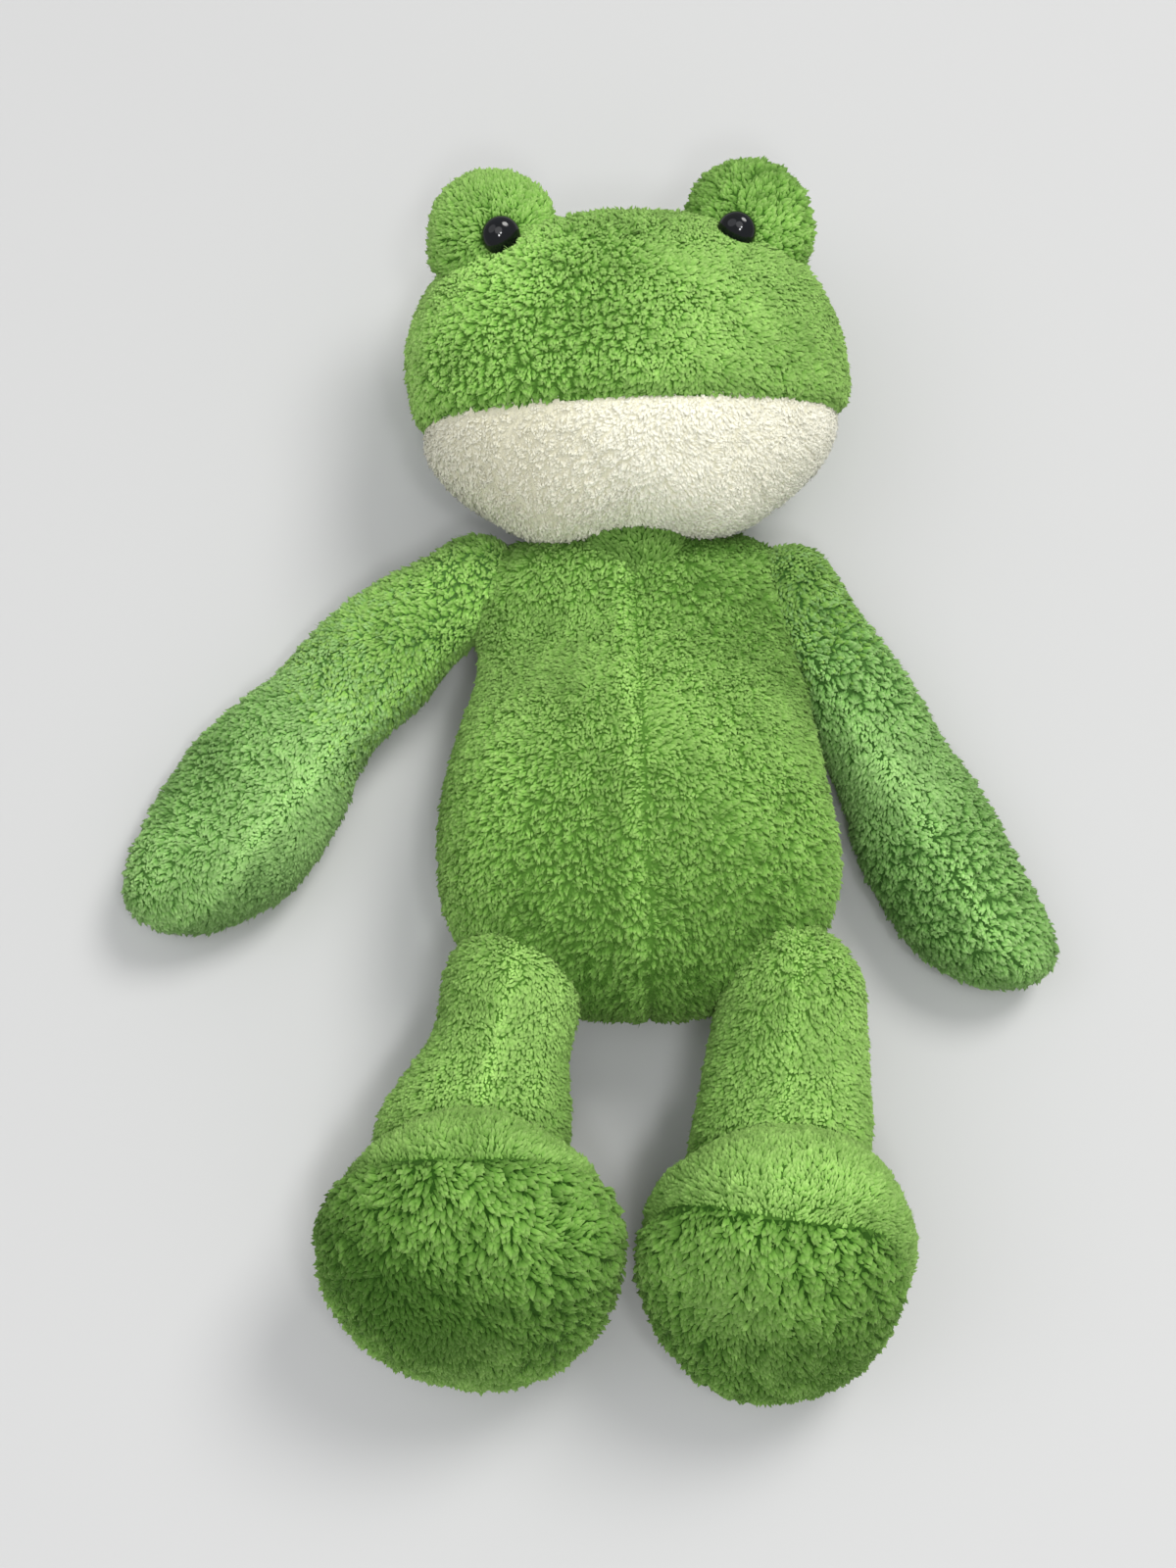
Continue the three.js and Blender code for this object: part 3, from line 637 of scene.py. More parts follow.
class Skin:
    """A closed skin, as rings of points with a pole at each end."""

    CLOTH = {
        "quality": 4,
        "mass": 0.3,
        "tension_stiffness": 12,
        "compression_stiffness": 12,
        "bending_stiffness": 0.4,
        "use_pressure": True,
        "uniform_pressure_force": 4.0,
        "vertex_group_mass": "held",
    }
    FILL_FRAMES = 20
    HELD_FROM = 0.05
    SHAKE = 0.42

    def __init__(self, points: Array) -> None:
        """Takes the points, by ring and by place round the ring."""
        self.points = points

    def normals(self) -> Array:
        """The outward direction at each point.

        Returns:
            A direction for each point.
        """
        round_way = np.roll(self.points, -1, 1) - np.roll(self.points, 1, 1)
        end_way = np.gradient(self.points, axis=0)
        found = unit(np.cross(round_way, end_way))
        middles = self.points.mean(1, keepdims=True)
        inner = slice(1, -1)
        if ((self.points - middles)[inner] * found[inner]).sum() < 0:
            found = -found
        for pole, ring in ((0, 1), (-1, -2)):
            found[pole] = unit(found[ring].mean(0))
        return found

    def push(self, amount: Array) -> None:
        """Moves each point along its outward direction."""
        self.points = self.points + self.normals() * amount[..., None]

    def settle(self) -> None:
        """Presses the skin flat where it lies on the floor."""
        self.points[..., 2] = np.maximum(self.points[..., 2], 0.0)

    def corner_numbers(self) -> Array:
        """The number of each point in a mesh where each pole is one corner.

        Returns:
            Numbers by ring and by side.
        """
        rings, sides = self.points.shape[:2]
        numbers = np.arange(1, 1 + (rings - 2) * sides).reshape(rings - 2, sides)
        first = np.zeros((1, sides), int)
        last = np.full((1, sides), 1 + (rings - 2) * sides)
        return np.concatenate([first, numbers, last])

    def triangles(self) -> Array:
        """The skin's triangles, facing outwards, by ring, by side and by half.

        Returns:
            The corners' numbers.
        """
        numbers = self.corner_numbers()
        low, high = numbers[:-1], numbers[1:]
        low_next, high_next = np.roll(low, -1, 1), np.roll(high, -1, 1)
        halves = np.stack(
            [np.stack([low, low_next, high_next], -1), np.stack([low, high_next, high], -1)], 2
        )
        a, b, c = (self.corners()[halves[len(halves) // 2, :, 0, k]] for k in range(3))
        out = np.cross(b - a, c - a) * (a - self.points[len(halves) // 2].mean(0))
        return halves if out.sum() > 0 else halves[..., ::-1]

    def corners(self) -> Array:
        """The skin's points as a mesh's corners, with each pole once."""
        inner = self.points[1:-1].reshape(-1, 3)
        return np.concatenate([self.points[:1, 0], inner, self.points[-1:, 0]])

    def plain(self) -> MeshParts:
        """The skin's mesh without any pile.

        Returns:
            The mesh's parts.
        """
        corners = self.corners()
        parts = MeshParts()
        parts.add(corners, without_flat(self.triangles().reshape(-1, 3)), np.zeros((len(corners), 2)))
        return parts

    def swell(self, pinned: Array, cap: float) -> None:
        """Fills the skin under pressure, as stuffing does, with its seams held.

        Args:
            pinned: How firmly each point is held, from 0 to 1.
            cap: The furthest that a point may move.
        """
        triangles = without_flat(self.triangles().reshape(-1, 3))
        corners = self.corners()
        mesh = bpy.data.meshes.new("filled")
        mesh.from_pydata((corners * MM).tolist(), [], triangles.tolist())
        obj = bpy.data.objects.new("filled", mesh)
        bpy.context.scene.collection.objects.link(obj)
        held = obj.vertex_groups.new(name="held")
        firmness = np.concatenate([pinned[:1, 0], pinned[1:-1].ravel(), pinned[-1:, 0]])
        for number in np.nonzero(firmness > self.HELD_FROM)[0]:
            held.add([int(number)], float(min(1.0, firmness[number])), "REPLACE")
        cloth = obj.modifiers.new("filled", "CLOTH")
        for key, value in self.CLOTH.items():
            setattr(cloth.settings, key, value)
        cloth.settings.effector_weights.gravity = 0.0
        cloth.point_cache.frame_start, cloth.point_cache.frame_end = 1, self.FILL_FRAMES
        scene = bpy.context.scene
        for number in range(1, self.FILL_FRAMES + 1):
            scene.frame_set(number)
        filled = obj.evaluated_get(bpy.context.evaluated_depsgraph_get())
        moved = np.zeros(len(corners) * 3, np.float32)
        filled.data.vertices.foreach_get("co", moved)
        step = moved.reshape(-1, 3) / MM - corners
        length = np.linalg.norm(step, axis=1, keepdims=True)
        step *= np.minimum(1.0, cap / np.maximum(length, 1e-6))
        self.points = (corners + step)[self.corner_numbers()]
        bpy.data.objects.remove(obj)
        bpy.data.meshes.remove(mesh)
        scene.frame_set(1)

    def scatter(self, spacing: float, rng: np.random.Generator) -> Samples:
        """Spreads places evenly over the skin, row by row.

        Args:
            spacing: How far apart they stand.
            rng: Shakes them out of line.

        Returns:
            The places.
        """
        rings, sides = self.points.shape[:2]
        steps = np.linalg.norm(np.diff(self.points, axis=0), axis=2).mean(1)
        reached = np.concatenate([[0], np.cumsum(steps)])
        ring_at, side_at = [], []
        for row in np.arange(spacing / 2, reached[-1], spacing):
            ring = min(int(np.searchsorted(reached, row)) - 1, rings - 2)
            share = (row - reached[ring]) / steps[ring]
            loop = self.points[ring] * (1 - share) + self.points[ring + 1] * share
            arc = np.linalg.norm(np.roll(loop, -1, 0) - loop, axis=1)
            arc = np.concatenate([[0], np.cumsum(arc)])
            count = max(1, round(arc[-1] / spacing))
            shaken = np.arange(count) + rng.random() + rng.uniform(-self.SHAKE, self.SHAKE, count)
            side_at.append(np.interp((shaken * arc[-1] / count) % arc[-1], arc, np.arange(sides + 1)))
            shaken = rng.uniform(-self.SHAKE, self.SHAKE, count)
            ring_at.append(ring + share + shaken * spacing / steps[ring])
        place = np.clip(np.concatenate(ring_at), 0, rings - 1.001), np.concatenate(side_at)
        end_way = np.gradient(self.points, axis=0)
        normals = unit(self.read(self.normals(), *place))
        along = self.read(end_way, *place)
        along = unit(along - normals * (along * normals).sum(1, keepdims=True))
        return Samples(self.read(self.points, *place), normals, along)

    @staticmethod
    def read(values: Array, ring_at: Array, side_at: Array) -> Array:
        """Values of the grid between its points.

        Args:
            values: Values by ring and by side.
            ring_at: Where to read along the rings.
            side_at: Where to read round the rings.

        Returns:
            The values there.
        """
        ring, side = ring_at.astype(int), side_at.astype(int)
        f, g = (ring_at - ring)[:, None], (side_at - side)[:, None]
        sides = values.shape[1]
        a, b = side % sides, (side + 1) % sides
        low = values[ring, a] * (1 - g) + values[ring, b] * g
        high = values[ring + 1, a] * (1 - g) + values[ring + 1, b] * g
        return low * (1 - f) + high * f


@dataclass
class Form:
    """A form that swells and tapers along a spine, with rounded ends."""

    spine: Array
    widths: tuple[float, ...]
    depths: tuple[float, ...]
    start_cap: float
    end_cap: float
    start_power: float = 2.0
    end_power: float = 2.0
    end_slant: float = 0.0
    front: Array = field(default_factory=lambda: UP.copy())
    STATIONS = 500
    FEWEST_RINGS = 12
    FEWEST_SIDES = 24
    BALL_POINTS = 12

    @classmethod
    def ball(cls, centre: Array, radius: float) -> "Form":
        """A ball about a point."""
        spine = centre + np.array((0, 1, 0)) * np.linspace(-radius, radius, cls.BALL_POINTS)[:, None]
        return cls(spine, (radius, radius), (radius, radius), radius, radius)

    def frames(self, t: Array) -> tuple[Array, Array, Array, Array]:
        """The spine's point, its direction, and the directions across and out of it.

        Args:
            t: Shares of the spine's length.

        Returns:
            Points, directions along, across and outward.
        """
        step = np.linalg.norm(np.diff(self.spine, axis=0), axis=1)
        reached = np.concatenate([[0], np.cumsum(step)])
        reached /= reached[-1]
        point = np.stack([np.interp(t, reached, self.spine[:, k]) for k in range(3)], 1)
        way = np.gradient(self.spine, axis=0)
        along = unit(np.stack([np.interp(t, reached, way[:, k]) for k in range(3)], 1))
        across = unit(np.cross(self.front, along))
        return point, along, across, np.cross(along, across)

    def skin(self, inset: float, step: float) -> Skin:
        """The form's skin.

        Args:
            inset: How far inside the form it lies.
            step: About how far apart its points are.

        Returns:
            The skin.
        """
        whole = np.linalg.norm(np.diff(self.spine, axis=0), axis=1).sum()
        length = whole - 2 * inset
        station = length * (0.5 - 0.5 * np.cos(np.linspace(0, math.pi, self.STATIONS)))
        start = np.maximum(0, 1 - station / (self.start_cap - inset))
        end = np.maximum(0, 1 - (length - station) / (self.end_cap - inset))
        ends = (1 - start**self.start_power) ** (1 / self.start_power)
        ends *= (1 - end**self.end_power) ** (1 / self.end_power)
        t = (station + inset) / whole
        half_width = (spline(self.widths, t) - inset) * ends
        half_depth = (spline(self.depths, t) - inset) * ends
        radius = (half_width + half_depth) / 2
        path = np.concatenate([[0], np.cumsum(np.hypot(np.diff(station), np.diff(radius)))])
        rings = max(self.FEWEST_RINGS, round(path[-1] / step))
        sides = max(self.FEWEST_SIDES, round(2 * math.pi * radius.max() / step))
        even = np.linspace(0, path[-1], rings)
        slant = self.end_slant * smooth(station, length - 2 * self.end_cap, length)
        t, half_width, half_depth, slant = (
            np.interp(even, path, v) for v in (t, half_width, half_depth, slant)
        )
        half_width[[0, -1]] = half_depth[[0, -1]] = 0
        point, along, across, outward = self.frames(t)
        across = across + along * slant[:, None]
        angle = np.linspace(0, 2 * math.pi, sides, endpoint=False)
        side_way = across[:, None] * (half_width[:, None] * np.cos(angle))[..., None]
        out_way = outward[:, None] * (half_depth[:, None] * np.sin(angle))[..., None]
        return Skin(point[:, None] + side_way + out_way)


@dataclass
class Panel:
    """One cut piece of fleece, and what it stands for in the frame."""

    name: str
    body: str
    nodes: tuple[str, ...]
    pile: Pile
    fleece: Fleece = GREEN_FLEECE
    slot: Slot = Slot.GREEN
    fill: float = 0.8
    brightness: float = 0.0


class Tufts:
    """Makes tufts of fleece at places on a skin."""

    CORNERS = 4  # round each ring
    RINGS = (0.0, 0.62)  # how far up a tuft its rings lie
    GIRTH = (0.9, 1.0)  # how thick it is there, as a share of its radius
    THICKNESS = 0.85  # how thick it is across, as a share of its width
    TWIST = 0.4
    SUNK = 0.25  # how deep its root lies in the backing
    SOFTNESS = 1.3  # how much it is lit as the skin under it is
    SWEPT = (0.25, 1.4)  # the least and the most that a nap's length counts
    LENGTHS = (0.78, 1.25)  # the least and the most, as shares of the pile's
    RADII = (0.8, 1.2)
    LEANS = (0.6, 1.3)
    RADIUS_FROM_HEIGHT = (0.3, 1.2)  # the shares of the pile's length that its radius goes by
    ROOT_LEAN = 0.35  # its lean at both ends, as shares of its own
    TIP_LEANS = (1.2, 2.0)
    STRAY_ROOT = 0.35  # where a stray fibre starts and how long it is, as shares of its tuft's length
    STRAY_LENGTHS = (0.4, 0.75)
    STRAY_LEANS = (28, 70)  # in degrees
    STRAY_WILDNESS = 0.7
    STRAY_OFF = 0.6
    STRAY_SWEEP = 0.5
    STRAY_WIDTH = 0.13
    STRAY_HEIGHTS = (0.5, 0.5, 0.5, 0.9)  # how far up a tuft its corners' colours are

    def __init__(self, pile: Pile, rng: np.random.Generator) -> None:
        """Takes the pile, and what makes its tufts uneven."""
        self.pile = pile
        self.rng = rng

    def grow(
        self, parts: MeshParts, at: Samples, nap: Array, height: Array, tone: Array, depth: Array
    ) -> None:
        """Adds a tuft at each place.

        Args:
            parts: Where the tufts are gathered.
            at: Where they stand.
            nap: The direction that each lies in, along the skin. A longer one lies flatter.
            height: Each tuft's length as a share of the pile's.
            tone: Each tuft's tone, from 0 to 1.
            depth: How dark each tuft's root is painted, as shade down in the pile, from 0 to 1.
        """
        count = len(at.points)
        rng, pile = self.rng, self.pile
        side = np.cross(at.normals, nap)
        swept = np.clip(np.linalg.norm(side, axis=1), *self.SWEPT)
        side = unit(side)
        nap = unit(np.cross(side, at.normals))
        length = pile.length * height * rng.uniform(*self.LENGTHS, count)
        radius = pile.radius * rng.uniform(*self.RADII, count)
        radius = radius * np.sqrt(np.clip(height, *self.RADIUS_FROM_HEIGHT))
        lean = np.radians(pile.lean * rng.uniform(*self.LEANS, count)) * swept
        start, stop = lean * self.ROOT_LEAN, lean * rng.uniform(*self.TIP_LEANS, count)
        tip = self.CORNERS * len(self.RINGS)
        corners = np.zeros((count, tip + 1, 3))
        facings = np.repeat(at.normals[:, None] * self.SOFTNESS, tip + 1, 1)
        heights = np.zeros((count, tip + 1))
        for ring, (t, girth) in enumerate(zip(self.RINGS, self.GIRTH)):
            point, way = self.bend(at, nap, length, start, stop, t)
            thick = np.cross(way, side)
            reach = (radius * girth)[:, None]
            for corner in range(self.CORNERS):
                number = ring * self.CORNERS + corner
                angle = corner * math.pi / 2 + self.TWIST
                edge = side * math.cos(angle) + thick * (math.sin(angle) * self.THICKNESS)
                corners[:, number] = point + edge * reach
                facings[:, number] += edge
                heights[:, number] = t
        corners[:, tip], way = self.bend(at, nap, length, start, stop, 1.0)
        facings[:, tip] += way
        heights[:, tip] = 1.0
        # Deeper tufts start lower on the fleece's ramp: painted shade at their roots.
        heights = 1 - (1 - heights) * depth[:, None]
        self.gather(parts, corners, heights, tone, self.tuft_triangles(), unit(facings))
        for _ in range(2):
            strays = rng.random(count) < pile.strays / 2
            self.stray(parts, at.only(strays), nap[strays], length[strays], tone[strays])

    def bend(
        self, at: Samples, nap: Array, length: Array, start: Array, stop: Array, t: float
    ) -> tuple[Array, Array]:
        """A point part of the way up each tuft, and the direction of the tuft there.

        Args:
            at: Where the tufts stand.
            nap: The direction that each lies in.
            length: Their lengths.
            start: Their lean at the root.
            stop: Their lean at the tip.
            t: The share of the way.

        Returns:
            Points and directions.
        """
        turn = np.maximum(stop - start, 1e-3)
        here = start + turn * t
        rise = length * (np.sin(here) - np.sin(start)) / turn
        run = length * (np.cos(start) - np.cos(here)) / turn
        point = at.points + at.normals * (rise - self.SUNK)[:, None] + nap * run[:, None]
        way = at.normals * np.cos(here)[:, None] + nap * np.sin(here)[:, None]
        return point, way

    def tuft_triangles(self) -> Array:
        """The triangles of one tuft.

        Returns:
            The corners' numbers.
        """
        found = []
        sides = self.CORNERS
        last = sides * (len(self.RINGS) - 1)
        for first in range(0, last, sides):
            for corner in range(sides):
                a, b = first + corner, first + (corner + 1) % sides
                found += [(a, b, b + sides), (a, b + sides, a + sides)]
        found += [(last + k, last + (k + 1) % sides, last + sides) for k in range(sides)]
        return np.array(found)

    @staticmethod
    def gather(
        parts: MeshParts, corners: Array, heights: Array, tone: Array, one: Array, facings: Array
    ) -> None:
        """Adds equal tufts to the mesh.

        Args:
            parts: Where they are gathered.
            corners: Their corners, by tuft.
            heights: How far up its tuft each corner is, for its colour.
            tone: Each tuft's tone.
            one: The triangles of one tuft.
            facings: The way that each corner faces.
        """
        count, each = heights.shape
        triangles = (one[None] + np.arange(count)[:, None, None] * each).reshape(-1, 3)
        tones = np.stack([np.repeat(tone[:, None], each, 1), heights * 0.96 + 0.02], -1)
        parts.add(corners.reshape(-1, 3), triangles, tones.reshape(-1, 2), facings.reshape(-1, 3))

    def stray(self, parts: MeshParts, at: Samples, nap: Array, length: Array, tone: Array) -> None:
        """Adds thin stray fibres that stand a little higher than the tufts.

        Args:
            parts: Where they are gathered.
            at: Where they stand.
            nap: The direction that each lies in.
            length: The lengths of the tufts that they stand by.
            tone: Their tones.
        """
        count = len(at.points)
        rng = self.rng
        wild = unit(nap + rng.normal(size=(count, 3)) * self.STRAY_WILDNESS)
        wild = unit(wild - at.normals * (wild * at.normals).sum(1, keepdims=True))
        side = np.cross(at.normals, wild)
        lean = np.radians(rng.uniform(*self.STRAY_LEANS, count))[:, None]
        way = at.normals * np.cos(lean) + wild * np.sin(lean)
        off = side * rng.uniform(-self.STRAY_OFF, self.STRAY_OFF, (count, 1))
        root = at.points + way * (length * self.STRAY_ROOT)[:, None] + off
        reach = length * rng.uniform(*self.STRAY_LENGTHS, count)
        tip = root + way * reach[:, None] + wild * self.STRAY_SWEEP
        thick = np.cross(way, side) * self.STRAY_WIDTH
        wide = side * self.STRAY_WIDTH
        corners = np.stack([root + wide, root - wide * 0.5 + thick, root - wide * 0.5 - thick, tip], 1)
        heights = np.tile(self.STRAY_HEIGHTS, (count, 1))
        spike = np.array([(0, 1, 3), (1, 2, 3), (2, 0, 3)])
        self.gather(parts, corners, heights, tone, spike, np.repeat(at.normals[:, None], 4, 1))


class Clumps:
    """Which tufts stick together at their tips."""

    def __init__(self, points: Array, spacing: float, size: float, rng: np.random.Generator) -> None:
        """Gathers each tuft to the nearest of some tufts picked at random.

        Args:
            points: Where the tufts stand.
            spacing: How far apart they stand.
            size: How large a clump is.
            rng: Picks the clumps.
        """
        count = max(1, round(len(points) * (spacing / size) ** 2))
        middles = points[rng.permutation(len(points))[:count]]
        tree = KDTree(count)
        for number, middle in enumerate(middles):
            tree.insert(middle, number)
        tree.balance()
        self.owner = np.array([tree.find(point)[1] for point in points], int)
        self.inwards = (middles[self.owner] - points) / size
        self.off = np.linalg.norm(self.inwards, axis=1)
        self.shared = rng.normal(size=(count, 3))[self.owner]


class Stuffed:
    """A stuffed form covered with panels of fleece. Each kind of form gives its own shape and nap."""

    STEP = 2.6  # about how far apart the skin's points are
    SWELL_CAP = 1.6  # the furthest that filling moves the skin
    BURIED = 0.5  # how much of the pile's length lies inside the frame's form
    PIN_WIDTH = 3.0  # how wide a seam is held while the skin fills
    CREASE = 1.3
    CREASE_WIDTH = 2.4
    LARGE_LUMPS = Ripple(50, 26, 0.5)
    SMALL_LUMPS = Ripple(51, 11, 0.22)
    TONE = 0.48
    # Painted light along seams: below 0 a painted shade in the crease, above 0 a painted highlight on the
    # ridge.
    SEAM_PAINTED_LIGHT = -0.1
    SEAM_BAND = 3.0
    # The backing is painted darker than the tufts: painted shade under the pile.
    BACKING_SHADE = 0.3
    BACKING_DEPTH = 0.98
    BROAD_TONES = Ripple(9, 30, 0.08)
    FINE_TONES = Ripple(10, 7, 0.04)
    TUFT_TONES = 0.05
    CLUMP_TONES = 0.04
    TONES = (0.02, 0.98)
    STICKING = Ripple(11, 38, 0.5)
    DRIFT = Ripple(7, 16, 0.7)
    TUFT_DRIFT = 0.3
    CLUMP_DRIFT = 0.55
    CLUMP_PULL = 1.6
    # A clump is painted lighter in its middle and darker at its edges: painted highlight and shade.
    CLUMP_LIGHT, LIGHT_WITHIN = 0.2, 0.45  # a clump is lighter in its middle
    CLUMP_RISE, RISE_WITHIN = 0.3, 0.4  # and longer there
    # How far clumping darkens the roots: painted shade in the gaps between clumps.
    LOOSE_DEPTH, STUCK_DEPTH = 0.6, 0.4
    CLUMP_HEIGHTS = 0.1
    SEAM_SHORT = 0.3
    SEAM_SHORT_WIDTH = 1.6
    HEIGHTS = (0.1, 1.35)
    DEPTHS = (0.2, 1)
    seed = 1

    def panels(self) -> list[Panel]:
        """The form's panels."""
        raise NotImplementedError

    def form(self) -> Form:
        """The form's shape."""
        raise NotImplementedError

    def place(self, points: Array) -> Array:
        """Where points of the straight form lie on the toy."""
        return points

    def unplace(self, points: Array) -> Array:
        """Where points on the toy lie on the straight form."""
        return points

    def panel_of(self, points: Array) -> Array:
        """The number of the panel that each point belongs to."""
        raise NotImplementedError

    def seam_distance(self, points: Array) -> Array:
        """How far each point is from the nearest seam."""
        raise NotImplementedError

    def relief(self, points: Array, normals: Array) -> Array:
        """How far the skin stands out at each point, apart from its seams."""
        return np.zeros(points.shape[:-1])

    def nap(self, at: Samples) -> Array:
        """The direction that the pile lies in."""
        return at.along

    def height(self, points: Array) -> Array:
        """The pile's length as a share of its usual length."""
        return np.ones(len(points))

    def tone(self, points: Array) -> Array:
        """How much lighter or darker the pile is than usual."""
        return np.zeros(len(points))

    def clumping(self, points: Array) -> Array:
        """How strongly the pile sticks together, as a share of what is usual."""
        return np.ones(len(points))

    def flatness(self, points: Array) -> Array:
        """How flat the pile lies, as a share of what is usual."""
        return np.ones(len(points))

    def tone_place(self, points: Array, tone: Array) -> Array:
        """Where tufts lie on their fleece's tone coordinate."""
        return tone

    def ground_place(self, tone: float) -> float:
        """Where the backing lies on its fleece's tone coordinate."""
        return tone

    def make_skin(self) -> Skin:
        """The filled skin under the pile.

        Returns:
            The skin, where it lies on the toy.
        """
        pile = self.panels()[0].pile
        skin = self.form().skin(inset=pile.length * self.BURIED, step=self.STEP)
        seams = bump(self.seam_distance(skin.points), self.PIN_WIDTH)
        skin.push(self.relief(skin.points, skin.normals()))
        skin.swell(seams, self.SWELL_CAP)
        lumps = self.LARGE_LUMPS.over(skin.points, self.seed)
        lumps = lumps + self.SMALL_LUMPS.over(skin.points, self.seed)
        seams = bump(self.seam_distance(skin.points), self.CREASE_WIDTH)
        skin.push(lumps * (1 - seams) - seams * self.CREASE)
        skin.settle()
        skin.points = self.place(skin.points)
        return skin

    def build(self) -> None:
        """Makes the form's panels with their fleece, each on its body and standing for its nodes."""
        skin = self.make_skin()
        halves = skin.triangles()
        middles = skin.corners()[halves].mean(3)
        owner = self.panel_of(self.unplace(middles))
        for number, panel in enumerate(self.panels()):
            rng = np.random.default_rng(self.seed * 100 + number)
            parts = MeshParts()
            self.add_ground(parts, skin, halves[owner == number], panel)
            at = skin.scatter(panel.pile.spacing, rng)
            here = self.unplace(at.points)
            mine = self.panel_of(here) == number
            self.add_pile(parts, at.only(mine), here[mine], panel, rng)
            piece = parts.make(panel.name, panel.fleece)
            hand_over(piece, panel.body, panel.nodes, panel.slot, panel.fill)

    def add_ground(self, parts: MeshParts, skin: Skin, triangles: Array, panel: Panel) -> None:
        """Adds the backing that the pile stands on, painted dark as the shade under the pile.

        Args:
            parts: Where it is gathered.
            skin: The whole skin.
            triangles: The panel's triangles of it.
            panel: The panel.
        """
        used, numbers = np.unique(triangles.ravel(), return_inverse=True)
        # Painted shade under the pile.
        tone = max(self.TONES[0], self.TONE + panel.brightness - self.BACKING_SHADE)
        height = 1 - self.BACKING_DEPTH * panel.pile.depth
        tones = np.tile((self.ground_place(tone), height), (len(used), 1))
        parts.add(skin.corners()[used], without_flat(numbers.reshape(-1, 3)), tones)

    def add_pile(
        self, parts: MeshParts, at: Samples, here: Array, panel: Panel, rng: np.random.Generator
    ) -> None:
        """Adds a panel's tufts.

        Args:
            parts: Where they are gathered.
            at: Where they stand.
            here: The same places on the straight form.
            panel: The panel.
            rng: Makes the tufts uneven.
        """
        count = len(here)
        if not count:
            return
        pile = panel.pile
        clumps = Clumps(here, pile.spacing, pile.clump, rng)
        stuck = self.clumping(here) * (1 + self.STICKING.over(here, self.seed))
        pull = pile.pull * stuck
        nap = self.nap(Samples(here, at.normals, at.along))
        side = unit(np.cross(at.normals, nap))
        nap = np.cross(side, at.normals)
        drift = self.DRIFT.over(here, self.seed) + rng.normal(size=count) * self.TUFT_DRIFT
        drift = (drift + clumps.shared[:, 0] * self.CLUMP_DRIFT) * math.radians(pile.wander)
        drift = drift[:, None]
        nap = (nap * np.cos(drift) + side * np.sin(drift)) * self.flatness(here)[:, None]
        nap = nap + clumps.inwards * (pull * self.CLUMP_PULL)[:, None]
        from_seam = self.seam_distance(here)
        height = self.height(here) * (1 - self.SEAM_SHORT * bump(from_seam, self.SEAM_SHORT_WIDTH))
        height = height * (1 + self.CLUMP_HEIGHTS * clumps.shared[:, 1])
        height = height * (1 + (self.RISE_WITHIN - clumps.off) * self.CLUMP_RISE * pull)
        tone = self.TONE + panel.brightness + self.tone(here) + self.BROAD_TONES.over(here, self.seed)
        tone = tone + self.FINE_TONES.over(here, self.seed) + rng.normal(size=count) * self.TUFT_TONES
        tone = tone + clumps.shared[:, 2] * self.CLUMP_TONES
        # Painted highlight in a clump's middle, painted shade at its edges.
        tone = tone + (self.LIGHT_WITHIN - clumps.off) * self.CLUMP_LIGHT * pull
        # Painted light along the seam.
        tone = tone + self.SEAM_PAINTED_LIGHT * bump(from_seam, self.SEAM_BAND)
        tone = self.tone_place(here, np.clip(tone, *self.TONES))
        height = np.clip(height, *self.HEIGHTS)
        # Clumped pile gets darker roots: more painted shade between the clumps.
        depth = np.clip(pile.depth * (self.LOOSE_DEPTH + self.STUCK_DEPTH * stuck), *self.DEPTHS)
        Tufts(pile, rng).grow(parts, at, nap, height, tone, depth)


